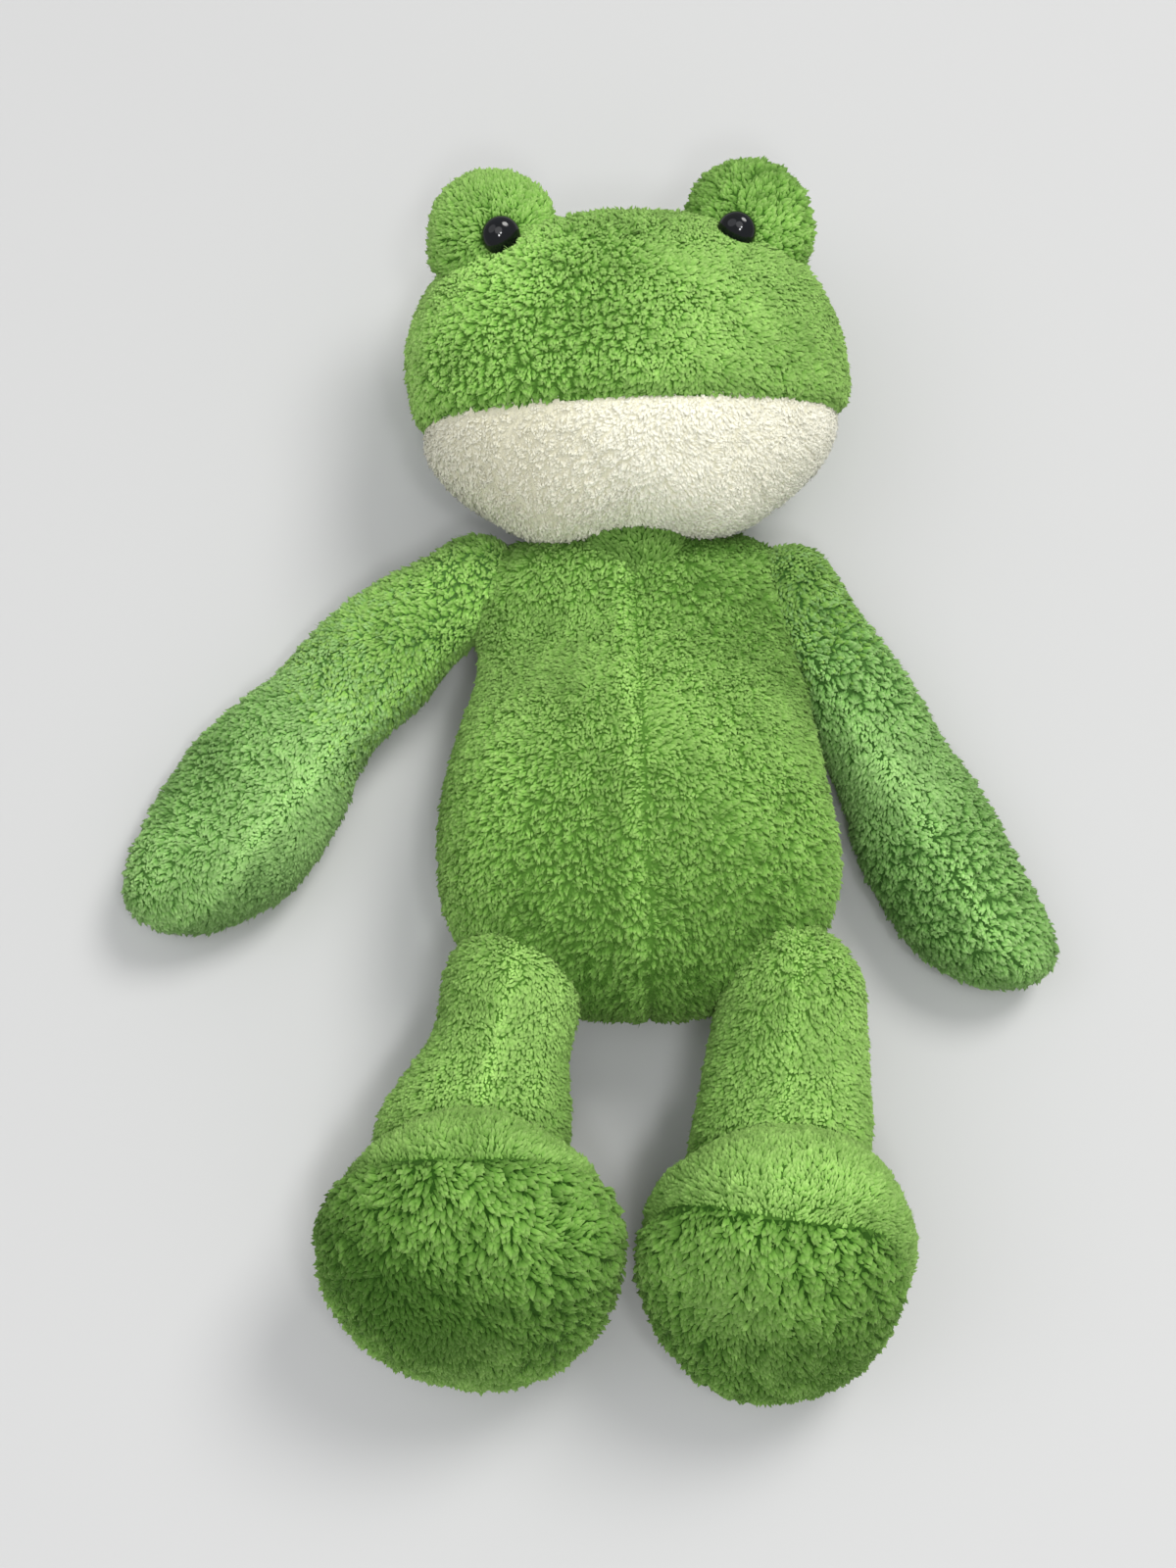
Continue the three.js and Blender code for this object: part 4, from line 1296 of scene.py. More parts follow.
@dataclass
class Torso(Stuffed):
    """The pear-shaped torso, with a seam down its front and one down each side."""

    length: float = 154.0
    lean: float = 5.0
    belly_width: float = 124.0
    belly_depth: float = 76.0
    waist_width: float = 116.0
    chest_width: float = 99.0
    chest_depth: float = 54.0
    seat_cap: float = 54.0
    neck_cap: float = 26.0
    neck_rise: float = 3.0
    side_seam: float = 26.0
    shoulder_drop: float = 14.0
    shoulder_height: float = 27.0
    shoulder_out: float = 0.5
    hip_rise: float = 4.0
    hip_depth: float = 30.0
    hip_inset: float = 20.0
    seed: int = 1
    BURIED = 0.45
    CREASE = 0.8
    CREASE_WIDTH = 1.9
    SEAM_PAINTED_LIGHT = 0.0
    SIDE_SLANT = 1.6
    FLANKS_END = (0, 40)
    LEFT_FLANK = Slope(20, 55, 1.6)
    RIGHT_FLANK = Slope(25, 58, -2.2)
    SHOULDER = Swelling(0, 19, 3.5)
    LOW_CLUMPS = 2.4
    FEWER_CLUMPS = Slope(-75, -15, -1.3)
    SHADE = -0.12
    LOW_SHADE, LOW_END = -0.22, (-78, -30)
    # Painted shadow on the chest under the chin.
    UNDER_CHIN_PAINTED_SHADOW = Slope(62, 75, -0.38)
    # A painted highlight beside the front seam.
    SEAM_PAINTED_HIGHLIGHT = Swelling(-3.5, 3.2, 0.16)
    LEFT_LIGHT = Slope(15, 40, 0.05)
    PARTING = Swelling(0, 3, 0.6)
    WIDE_PARTING = Swelling(0, 16, 0.3)
    FANNING = 160.0

    @property
    def top(self) -> float:
        """How far the neck end lies from the middle."""
        return self.length / 2

    def middle(self, y: float, z: float) -> Array:
        """A point on the leaning middle of the torso."""
        return np.array((-self.lean * y / self.length, y, z))

    def shoulder(self, side: Side) -> Array:
        """The pivot of an arm."""
        out = side.value * (self.chest_width / 2 + self.shoulder_out)
        return self.middle(self.top - self.shoulder_drop, self.shoulder_height) + np.array((out, 0, 0))

    def hip(self, side: Side) -> Array:
        """The pivot of a leg.

        Args:
            side: The side.

        Returns:
            The pivot.
        """
        out = side.value * (self.belly_width / 2 - self.hip_inset)
        low = self.middle(-self.top + self.hip_rise, self.belly_depth - self.hip_depth)
        return low + np.array((out, 0, 0))

    def form(self) -> Form:
        """The torso's shape: deep at the belly and flat at the chest.

        Returns:
            The form.
        """
        low, high = self.belly_depth / 2 - FLAT, self.chest_depth / 2 - FLAT
        y = np.linspace(-self.top, self.top + self.neck_rise, 60)
        z = low + (high - low) * smooth(y, self.seat_cap - self.top, self.top - self.neck_cap)
        spine = np.stack([-self.lean * y / self.length, y, z], 1)
        belly, chest = self.belly_width / 2, self.chest_width / 2
        deep, flat = self.belly_depth / 2, self.chest_depth / 2
        return Form(
            spine=spine,
            widths=(belly, belly, self.waist_width / 2, chest, chest),
            depths=(deep, deep, deep, flat, flat),
            start_cap=self.seat_cap,
            end_cap=self.neck_cap,
            start_power=2.5,
            end_power=3.0,
        )

    def panels(self) -> list[Panel]:
        """The two front panels and the back.

        Returns:
            The panels in order.
        """
        return [
            Panel("torso_front_left_fleece", "torso", ("torso_front_left",), BODY_PILE),
            Panel("torso_front_right_fleece", "torso", ("torso_front_right",), BODY_PILE),
            Panel("torso_back_fleece", "torso", ("torso_back", "torso_stuffing"), BODY_PILE),
        ]

    def off_middle(self, points: Array) -> Array:
        """How far points lie to the right of the front seam."""
        return points[..., 0] + self.lean * points[..., 1] / self.length

    def panel_of(self, points: Array) -> Array:
        """Left, right or back."""
        front = np.where(self.off_middle(points) < 0, 0, 1)
        return np.where(points[..., 2] < self.side_seam, 2, front)

    def seam_distance(self, points: Array) -> Array:
        """The distance to the front seam or to a side seam."""
        front = np.where(points[..., 2] > self.side_seam, np.abs(self.off_middle(points)), FAR)
        return np.minimum(front, np.abs(points[..., 2] - self.side_seam) * self.SIDE_SLANT)

    def relief(self, points: Array, normals: Array) -> Array:
        """The left flank is fuller than the right one, and the shoulders run into the arms.

        Args:
            points: Points on the straight form.
            normals: The outward direction at each; not used.

        Returns:
            How far the skin stands out at each point.
        """
        away, low = self.off_middle(points), 1 - smooth(points[..., 1], *self.FLANKS_END)
        shoulders = [np.linalg.norm(points - self.shoulder(side), axis=-1) for side in Side]
        flanks = (self.LEFT_FLANK.over(-away) + self.RIGHT_FLANK.over(away)) * low
        return flanks + self.SHOULDER.over(np.min(shoulders, axis=0))

    def clumping(self, points: Array) -> Array:
        """More low on the belly."""
        return self.LOW_CLUMPS + self.FEWER_CLUMPS.over(points[:, 1])

    def tone(self, points: Array) -> Array:
        """Darker low on the belly, painted shadow under the chin, a painted highlight along the seam, and
        lighter at the left.

        Args:
            points: Points on the straight form.

        Returns:
            What is added to the tone at each point.
        """
        away = self.off_middle(points)
        low = self.LOW_SHADE * (1 - smooth(points[:, 1], *self.LOW_END))
        # Painted shadow under the chin.
        high = self.UNDER_CHIN_PAINTED_SHADOW.over(points[:, 1])
        return low + high + self.SHADE + self.SEAM_PAINTED_HIGHLIGHT.over(away) + self.LEFT_LIGHT.over(-away)

    def nap(self, at: Samples) -> Array:
        """Down towards the feet, parted a little along the front seam.

        Args:
            at: Where the tufts stand.

        Returns:
            A direction for each tuft.
        """
        away = self.off_middle(at.points)
        parted = np.sign(away) * (self.PARTING.over(away) + self.WIDE_PARTING.over(away))
        parted = parted + away / self.FANNING
        return unit(np.stack([parted, np.full(len(away), -1.0), np.zeros(len(away))], 1))


@dataclass
class Head(Stuffed):
    """The wide head, with a cream chin below its mouth seam."""

    torso: Torso = field(default_factory=Torso)
    length: float = 106.0
    width: float = 140.0
    depth: float = 96.0
    back_seam: float = 31.5
    mouth_rise: float = 40.0
    mouth_tilt: float = 13.0
    tilt: float = 2.5
    neck_overlap: float = 5.5
    neck_height: float = 36.0
    seed: int = 2
    BURIED = 0.65
    BACK_SLANT = 1.4
    FRONT_EDGE = 12.0
    LIP = Swelling(5, 5, 0.9)
    UNDER_LIP = Swelling(-3, 4, -0.5)
    LEFT_LOBE = Swelling(-27, 16, 3.6)
    RIGHT_LOBE = Swelling(31, 17, 4.8)
    LOBE_LENGTH = 12.0
    NOTCH = Swelling(0, 12, -0.4)
    NOTCH_LENGTH = 7.0
    EYE_DENT = Swelling(0, 9, -0.8)
    TOP = Slope(-14, -2, -2.2)
    TOP_WIDTH = 26.0
    LEFT_CORNER = Slope(48, 68, -2.6)
    CORNER_OVER, CORNER_LENGTH = 3.0, 12.0
    PATCH = (-22.0, 122.0)
    PATCH_STRETCH = 1.2
    PATCH_SHADE = Swelling(0, 24, -0.08)
    CROWN_SHADE = -0.02
    LEFT_LIGHT = Slope(0, 40, 0.22)
    RIGHT_LIGHT = Slope(5, 35, 0.05)
    # Painted shade on the chin's left, the side away from the light.
    CHIN_LEFT_PAINTED_SHADE = Slope(-10, 45, -0.3)
    SHORTEST = 0.2
    PAST_EYES = Slope(5, 9, 0.8)
    LEFT_CLUMPS = 1.3
    FEWER_CLUMPS = Slope(-32, 22, -0.85)
    CHIN_COMBED = Slope(-45, 15, 0.22)
    LEFT_FANNING, RIGHT_FANNING = 1.4, 3.4
    CHIN_BRIGHTNESS = 0.27

    @property
    def bottom(self) -> float:
        """The chin's lowest point along the body."""
        return self.torso.top - self.neck_overlap

    @property
    def pivot(self) -> Array:
        """The neck's pivot."""
        return self.torso.middle(self.bottom, self.neck_height)

    def place(self, points: Array) -> Array:
        """Leans the head to the left about the neck."""
        return self.turned(points, math.radians(self.tilt))

    def unplace(self, points: Array) -> Array:
        """Stands the head straight again."""
        return self.turned(points, -math.radians(self.tilt))

    def turned(self, points: Array, angle: float) -> Array:
        """Points turned about the neck's pivot, in the plane of the floor.

        Args:
            points: Points on the straight form.
            angle: The angle in radians.

        Returns:
            The turned points.
        """
        c, s = math.cos(angle), math.sin(angle)
        turn = np.array(((c, s, 0), (-s, c, 0), (0, 0, 1)))
        return (points - self.pivot) @ turn + self.pivot

    def form(self) -> Form:
        """The head's shape, fuller at the top than at the chin.

        Returns:
            The form.
        """
        y = np.linspace(self.bottom, self.bottom + self.length, 30)
        spine = np.stack([np.full(30, self.pivot[0]), y, np.full(30, self.depth / 2 - FLAT)], 1)
        return Form(
            spine=spine,
            widths=(self.width / 2, self.width / 2),
            depths=(self.depth / 2, self.depth / 2),
            start_cap=self.length / 2,
            end_cap=self.length / 2,
            start_power=2.2,
            end_power=2.5,
        )

    def panels(self) -> list[Panel]:
        """The crown, the chin and the back.

        Returns:
            The panels in order.
        """
        return [
            Panel("head_crown_fleece", "head", ("head_crown",), HEAD_PILE),
            Panel(
                "head_chin_fleece", "head", ("head_chin",), CHIN_PILE, CREAM_FLEECE, Slot.CREAM,
                brightness=self.CHIN_BRIGHTNESS,
            ),
            Panel("head_back_fleece", "head", ("head_back", "head_stuffing"), HEAD_PILE),
        ]

    def over_mouth(self, points: Array) -> Array:
        """How far points lie above the mouth seam.

        Args:
            points: Points on the straight form.

        Returns:
            Distances, under 0 on the chin.
        """
        tilt = math.radians(self.mouth_tilt)
        up = (points[..., 1] - self.bottom - self.mouth_rise) * math.cos(tilt)
        return up + (points[..., 2] - self.depth / 2) * math.sin(tilt)

    def panel_of(self, points: Array) -> Array:
        """Crown, chin or back."""
        front = np.where(self.over_mouth(points) > 0, 0, 1)
        return np.where(points[..., 2] < self.back_seam, 2, front)

    def seam_distance(self, points: Array) -> Array:
        """The distance to the mouth seam or to the back seam."""
        mouth = np.where(points[..., 2] > self.back_seam, np.abs(self.over_mouth(points)), FAR)
        return np.minimum(mouth, np.abs(points[..., 2] - self.back_seam) * self.BACK_SLANT)

    def relief(self, points: Array, normals: Array) -> Array:
        """The crown's edge stands over the chin, and the chin has two lobes.

        Args:
            points: Points on the straight form.
            normals: The outward direction at each; not used.

        Returns:
            How far the skin stands out at each point.
        """
        over = self.over_mouth(points)
        across, up = points[..., 0] - self.pivot[0], points[..., 1] - self.bottom
        front = np.clip((points[..., 2] - self.back_seam) / self.FRONT_EDGE, 0, 1)
        lip = self.LIP.over(over) + self.UNDER_LIP.over(over)
        notch = self.NOTCH.over(across) * bump(up, self.NOTCH_LENGTH)
        lobes = self.LEFT_LOBE.over(across) + self.RIGHT_LOBE.over(across)
        dent = notch + lobes * bump(up, self.LOBE_LENGTH) + self.EYE_DENT.over(self.from_eyes(points))
        top = self.TOP.over(up - self.length) * bump(across, self.TOP_WIDTH)
        corner = self.LEFT_CORNER.over(-across) * bump(over - self.CORNER_OVER, self.CORNER_LENGTH)
        return front * (lip + dent + corner) + top

    def tone(self, points: Array) -> Array:
        """The crown is lighter at its sides and dark in a patch, and the chin is darker at its left, a
        painted shade on the side away from the light.

        Args:
            points: Points on the straight form.

        Returns:
            What is added to the tone at each point.
        """
        x, y = points[:, 0], points[:, 1]
        patch = np.hypot(x - self.pivot[0] - self.PATCH[0], (y - self.PATCH[1]) * self.PATCH_STRETCH)
        lighter = self.LEFT_LIGHT.over(-x) + self.RIGHT_LIGHT.over(x)
        crown = lighter + self.CROWN_SHADE + self.PATCH_SHADE.over(patch)
        return np.where(self.over_mouth(points) > 0, crown, self.CHIN_LEFT_PAINTED_SHADE.over(-x))

    def from_eyes(self, points: Array) -> Array:
        """How far points lie from the nearer eye."""
        return np.min([Mound(side=side, head=self).from_eye(points) for side in Side], axis=0)

    def height(self, points: Array) -> Array:
        """Short beside the eyes."""
        return self.SHORTEST + self.PAST_EYES.over(self.from_eyes(points))

    def clumping(self, points: Array) -> Array:
        """Less to the right, where the pile is combed smooth."""
        return self.LEFT_CLUMPS + self.FEWER_CLUMPS.over(points[:, 0])

    def flatness(self, points: Array) -> Array:
        """More at the right of the chin."""
        combed = 1.0 + self.CHIN_COMBED.over(points[:, 0])
        return np.where(self.over_mouth(points) > 0, 1.0, combed)

    def nap(self, at: Samples) -> Array:
        """Down the face and out to its sides.

        Args:
            at: Where the tufts stand.

        Returns:
            A direction for each tuft.
        """
        across = (at.points[:, 0] - self.pivot[0]) / self.width
        sideways = np.where(across > 0, across * self.RIGHT_FANNING, across * self.LEFT_FANNING)
        return unit(np.stack([sideways, np.full(len(across), -1.0), np.zeros(len(across))], 1))


@dataclass
class Mound(Stuffed):
    """A round mound on top of the head, which carries an eye."""

    side: Side = Side.LEFT
    head: Head = field(default_factory=Head)
    width: float = 42.0
    length: float = 40.0
    depth: float = 32.0
    inset: float = 30.0
    sink: float = 7.0
    forward: float = 17.0
    eye_radius: float = 6.0
    eye_height: float = 4.0
    eye_sunk: float = 1.0
    STEP = 1.8
    SWELL_CAP = 0.8
    BURIED = 0.6
    RIM_SLANT = 1.5
    SKIRT = Slope(0, 14, 4.2)
    EYE_DENT = Swelling(0, 6.5, -1.6)
    UPWARDS = np.array((0, 2.0, 0))
    BARE_RADIUS, GROWN_OVER, SHORTEST = 3.5, 4.0, 0.12

    def __post_init__(self) -> None:
        """Sets where this mound's eye looks, and the mound's tone and unevenness."""
        left = self.side is Side.LEFT
        self.eye_tilt, self.eye_turn = (33.0, 10.0) if left else (38.0, 15.0)
        self.brightness = -0.07 if left else -0.1
        self.seed = 3 if left else 4

    @property
    def centre(self) -> Array:
        """The middle of the mound, with the head straight.

        Returns:
            The point.
        """
        head = self.head
        return np.array((
            head.pivot[0] + self.side.value * (head.width / 2 - self.inset),
            head.bottom + head.length - self.sink,
            head.depth / 2 - FLAT + self.forward,
        ))

    def eye_place(self) -> tuple[Array, Array]:
        """The eye's seat and the direction that it looks in, with the head straight.

        Returns:
            The seat and the direction.
        """
        tilt = math.radians(self.eye_tilt)
        inwards = -self.side.value * math.tan(math.radians(self.eye_turn))
        looks = unit(np.array((inwards, -math.sin(tilt), math.cos(tilt))))
        reach = 1 / np.linalg.norm(looks / (np.array((self.width, self.length, self.depth)) / 2))
        return self.centre + looks * (reach - self.eye_sunk), looks

    def from_eye(self, points: Array) -> Array:
        """How far points lie from the eye's seat."""
        return np.linalg.norm(points - self.eye_place()[0], axis=-1)

    def place(self, points: Array) -> Array:
        """Leans with the head."""
        return self.head.place(points)

    def unplace(self, points: Array) -> Array:
        """Stands straight with the head."""
        return self.head.unplace(points)

    def form(self) -> Form:
        """A squashed ball.

        Returns:
            The form.
        """
        y = np.linspace(-self.length / 2, self.length / 2, 20)
        spine = self.centre + np.stack([np.zeros(20), y, np.zeros(20)], 1)
        return Form(
            spine=spine,
            widths=(self.width / 2, self.width / 2),
            depths=(self.depth / 2, self.depth / 2),
            start_cap=self.length / 2,
            end_cap=self.length / 2,
        )

    def panels(self) -> list[Panel]:
        """The front and the back of the mound.

        Returns:
            The panels in order.
        """
        name = f"{self.side.word}_mound"
        nodes = {"front": (f"{name}_front",), "back": (f"{name}_back", f"{name}_stuffing")}
        return [
            Panel(f"{name}_{half}_fleece", "head", nodes[half], MOUND_PILE, brightness=self.brightness)
            for half in nodes
        ]

    def panel_of(self, points: Array) -> Array:
        """Front or back."""
        return np.where(points[..., 2] > self.centre[2], 0, 1)

    def seam_distance(self, points: Array) -> Array:
        """The distance to the rim."""
        return np.abs(points[..., 2] - self.centre[2]) * self.RIM_SLANT

    def relief(self, points: Array, normals: Array) -> Array:
        """The eye pulls the front of the mound in, and the outer side runs down into the head.

        Args:
            points: Points on the straight form.
            normals: The outward direction at each.

        Returns:
            How far the skin stands out at each point.
        """
        outer = np.clip(normals[..., 0] * self.side.value, 0, 1)
        skirt = self.SKIRT.over(self.centre[1] - points[..., 1]) * outer
        return skirt + self.EYE_DENT.over(self.from_eye(points))

    def nap(self, at: Samples) -> Array:
        """Out from the eye."""
        seat, _ = self.eye_place()
        return unit(at.points - seat + self.UPWARDS)

    def height(self, points: Array) -> Array:
        """Short under the eye and long round it."""
        grown = (self.from_eye(points) - self.BARE_RADIUS) / self.GROWN_OVER
        return np.clip(grown, self.SHORTEST, 1.0)


@dataclass
class Eye:
    """A domed safety eye on its mound."""

    mound: Mound
    lift: float = 0.3
    band: float = 0.5
    neck_radius: float = 1.6
    neck_depth: float = 2.0
    sides: int = 48
    dome_rings: int = 14

    def profile(self) -> Array:
        """The dome and its rim, by distance from the eye's middle line and by height.

        Returns:
            The profile's points.
        """
        radius, height = self.mound.eye_radius, self.mound.eye_height
        angle = np.linspace(0, math.pi / 2, self.dome_rings)
        dome = np.stack([radius * np.cos(angle), height * np.sin(angle) + self.band], 1)
        rim = [(radius * 0.9, -0.6), (radius * 1.0, -0.1), (radius * 1.01, 0.25)]
        return np.concatenate([[(self.neck_radius, -self.neck_depth)], rim, dome])

    def build(self) -> None:
        """Turns the eye on its mound, and gives the washer behind it its finish."""
        mound, profile = self.mound, self.profile()
        seat, looks = mound.eye_place()
        side = unit(np.cross(UP, looks))
        top = np.cross(looks, side)
        turn = np.linspace(0, 2 * math.pi, self.sides, endpoint=False)
        spoke = side * np.cos(turn)[:, None] + top * np.sin(turn)[:, None]
        points = seat + profile[:, None, :1] * spoke + (profile[:, 1] + self.lift)[:, None, None] * looks
        word = mound.side.word
        piece = Skin(mound.head.place(points)).plain().make(f"{word}_eye_dome", EYE_PLASTIC)
        hand_over(piece, "head", (f"{word}_eye",), Slot.EYE)
        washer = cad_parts[f"{word}_eye_washer"]
        washer.data.materials.clear()
        washer.data.materials.append(MATERIALS.get(WASHER_PLASTIC))


@dataclass
class Limb(Stuffed):
    """A limb with a seam along its front, between an outer and an inner panel."""

    side: Side = Side.LEFT
    torso: Torso = field(default_factory=Torso)
    CREASE = 0.5
    SEAM_SLANT = 1.2
    PART = ""
    PILE = BODY_PILE
    FLEECE = GREEN_FLEECE
    INNER_SHADE = 0.0
    brightness = 0.0

    def panels(self) -> list[Panel]:
        """The outer and the inner panel.

        Returns:
            The panels in order.
        """
        limb = f"{self.side.word}_{self.PART}"
        nodes = {"outer": (f"{limb}_outer",), "inner": (f"{limb}_inner", f"{limb}_stuffing")}
        tones = {"outer": self.brightness, "inner": self.brightness + self.INNER_SHADE}
        return [
            Panel(f"{limb}_{half}_fleece", limb, nodes[half], self.PILE, self.FLEECE, brightness=tones[half])
            for half in nodes
        ]

    def over_seam(self, points: Array) -> Array:
        """How far points lie on the outer side of the seam."""
        raise NotImplementedError

    def panel_of(self, points: Array) -> Array:
        """Outer or inner."""
        return np.where(self.over_seam(points) > 0, 0, 1)

    def seam_distance(self, points: Array) -> Array:
        """The distance to the seam."""
        return np.abs(self.over_seam(points)) * self.SEAM_SLANT


@dataclass
class Arm(Limb):
    """An arm that widens to a mitt."""

    length: float = 144.0
    root_radius: float = 15.5
    depth: float = 32.0
    tip_cap: float = 24.0
    tip_slant: float = 0.4
    fall: float = 86.0
    seam_tilt: float = 40.0
    STEPS = 64
    PART = "arm"
    PILE = ARM_PILE
    FLEECE = COOL_FLEECE
    INNER_SHADE = -0.1
    # A painted highlight along the seam's ridge.
    SEAM_PAINTED_LIGHT = 0.26
    SEAM_BAND = 4.0
    LEFT_ROOT, RIGHT_ROOT = 1.8, -2.5
    ROOT_END = (20, 60)
    EDGE = Slope(70, 115, -3.5)
    EDGE_WAY = (0.87, 0.5)
    EDGE_WIDTH = 20.0
    COOL_SEED = 900

    def __post_init__(self) -> None:
        """Sets how this arm lies: the left one flat, the right one turned on its edge a little."""
        left = self.side is Side.LEFT
        self.heading, self.bend = (60.0, 41.0) if left else (29.0, 1.0)
        self.elbow_width, self.mitt_width = (41.0, 53.0) if left else (37.0, 47.0)
        self.tip_width = 46.0 if left else 41.0
        self.brightness, self.clumps = (0.0, 0.9) if left else (-0.12, 1.7)
        self.cool = Slope(18, 80, 1.0) if left else Slope(4, 42, 1.0)
        self.seed = 5 if left else 6

    def spine(self) -> Array:
        """The arm's middle, from behind its root to its tip.

        Returns:
            The spine's points.
        """
        steps = self.STEPS
        pivot = self.torso.shoulder(self.side)
        angle = np.radians(self.heading - self.bend * (np.arange(steps) + 0.5) / steps)
        way = np.stack([self.side.value * np.sin(angle), -np.cos(angle), np.zeros(steps)], 1)
        path = pivot + np.concatenate([[np.zeros(3)], np.cumsum(way, 0)]) * self.length / steps
        reached = np.arange(steps + 1) * self.length / steps
        share = np.clip(reached / self.fall, 0, 1)
        path[:, 2] = pivot[2] + (self.depth / 2 - FLAT - pivot[2]) * share * share * (3 - 2 * share)
        first = np.radians(self.heading)
        back = np.array((self.side.value * math.sin(first), -math.cos(first), 0)) * -self.root_radius
        root = pivot + back * np.linspace(1, 0.1, 8)[:, None]
        return np.concatenate([root, path])

    def form(self) -> Form:
        """Slim at the root, wide at the mitt, flat all along.

        Returns:
            The form.
        """
        root, elbow, mitt = self.root_radius, self.elbow_width / 2, self.mitt_width / 2
        return Form(
            spine=self.spine(),
            widths=(root, root, elbow, elbow, mitt, mitt, self.tip_width / 2),
            depths=(root, root, self.depth / 2, self.depth / 2),
            start_cap=root,
            end_cap=self.tip_cap,
            end_power=2.5,
            end_slant=self.tip_slant * self.side.value,
        )

    def over_seam(self, points: Array) -> Array:
        """How far points lie on the outer side of the seam.

        Args:
            points: Points on the straight form.

        Returns:
            Distances, under 0 on the other side.
        """
        pivot = self.torso.shoulder(self.side)
        chord = self.spine()[-1] - pivot
        chord = unit(np.array((chord[0], chord[1], 0)))
        out = np.cross(UP, chord) * self.side.value
        tilt = math.radians(self.seam_tilt)
        return (points - pivot) @ (out * math.cos(tilt) + UP * math.sin(tilt))

    def reached(self, points: Array) -> Array:
        """How far points lie from the shoulder."""
        return np.linalg.norm(points - self.torso.shoulder(self.side), axis=-1)

    def relief(self, points: Array, normals: Array) -> Array:
        """The left arm is full at its root. The right one is slim there and along its mitt's outer edge.

        Args:
            points: Points on the straight form.
            normals: The outward direction at each.

        Returns:
            How far the skin stands out at each point.
        """
        reached = self.reached(points)
        root = (1 - smooth(reached, *self.ROOT_END)) * np.clip(normals[..., 1], 0, 1)
        if self.side is Side.LEFT:
            return self.LEFT_ROOT * root
        off = (points - self.torso.shoulder(self.side))[..., :2] * self.EDGE_WAY
        outer = np.clip((off[..., 0] + off[..., 1]) / self.EDGE_WIDTH, 0, 1)
        return self.EDGE.over(reached) * outer + self.RIGHT_ROOT * root

    def clumping(self, points: Array) -> Array:
        """More on the right arm."""
        return np.full(len(points), self.clumps)

    def tone_place(self, points: Array, tone: Array) -> Array:
        """Tufts of the torso's green at the root give way to cooler ones."""
        drawn = np.random.default_rng(self.seed + self.COOL_SEED).random(len(points))
        return (tone + (drawn < self.cool.over(self.reached(points)))) / 2

    def ground_place(self, tone: float) -> float:
        """In the cooler half."""
        return (tone + 1) / 2


@dataclass
class Leg(Limb):
    """A short leg."""

    length: float = 52.5
    root_radius: float = 22.5
    ankle_radius: float = 25.0
    calf_width: float = 50.0
    PART = "leg"
    PILE = LEG_PILE
    # A painted highlight along the seam's ridge.
    SEAM_PAINTED_LIGHT = 0.2
    SEAM_BAND = 2.4
    FRONT = Slope(8, 44, 9.0)
    HALF_WIDTH = 24.0
    LEFT_SLIM = Swelling(13, 15, -3.4)
    LEFT_FLARE = Slope(18, 46, 5.0)
    brightness = -0.05

    def __post_init__(self) -> None:
        """Sets how this leg lies."""
        self.splay = 10.7 if self.side is Side.LEFT else -5.5
        self.seed = 8 if self.side is Side.LEFT else 9

    @property
    def hip(self) -> Array:
        """The hip's pivot."""
        return self.torso.hip(self.side)

    def ankle(self, height: float) -> Array:
        """The ankle's pivot at a height.

        Args:
            height: The height.

        Returns:
            The pivot.
        """
        hip = self.hip
        reach = math.sqrt(self.length**2 - (hip[2] - height) ** 2 - self.splay**2)
        return np.array((hip[0] + self.side.value * self.splay, hip[1] - reach, height))

    @property
    def foot(self) -> "Foot":
        """The foot on this leg."""
        return Foot(side=self.side, leg=self)

    def form(self) -> Form:
        """A soft tube with round ends.

        Returns:
            The form.
        """
        hip, ankle = self.hip, self.foot.ankle
        along = unit(ankle - hip)
        start, end = hip - along * self.root_radius, ankle + along * self.ankle_radius
        spine = start + (end - start) * np.linspace(0, 1, 30)[:, None]
        root, ankle_half = self.root_radius, self.ankle_radius
        return Form(
            spine=spine,
            widths=(root, root, self.calf_width / 2, ankle_half, ankle_half),
            depths=(root, root, root, ankle_half, ankle_half),
            start_cap=root,
            end_cap=ankle_half,
        )

    def over_seam(self, points: Array) -> Array:
        """How far points lie on the outer side of the seam.

        Args:
            points: Points on the straight form.

        Returns:
            Distances, under 0 on the other side.
        """
        along = self.foot.ankle - self.hip
        out = unit(np.cross(UP, along)) * self.side.value
        return (points - self.hip) @ out

    def relief(self, points: Array, normals: Array) -> Array:
        """Full towards the foot. The left leg is slim above that and fullest on its outer side.

        Args:
            points: Points on the straight form.
            normals: The outward direction at each.

        Returns:
            How far the skin stands out at each point.
        """
        reached = (points - self.hip) @ unit(self.foot.ankle - self.hip)
        front = self.FRONT.over(reached) * np.clip(normals[..., 2], 0, 1)
        if self.side is Side.RIGHT:
            return front
        outwards = np.clip(self.over_seam(points) / self.HALF_WIDTH, -1, 1)
        slim = self.LEFT_SLIM.over(reached) * np.abs(outwards)
        return front + slim + self.LEFT_FLARE.over(reached) * np.clip(outwards, 0, 1)


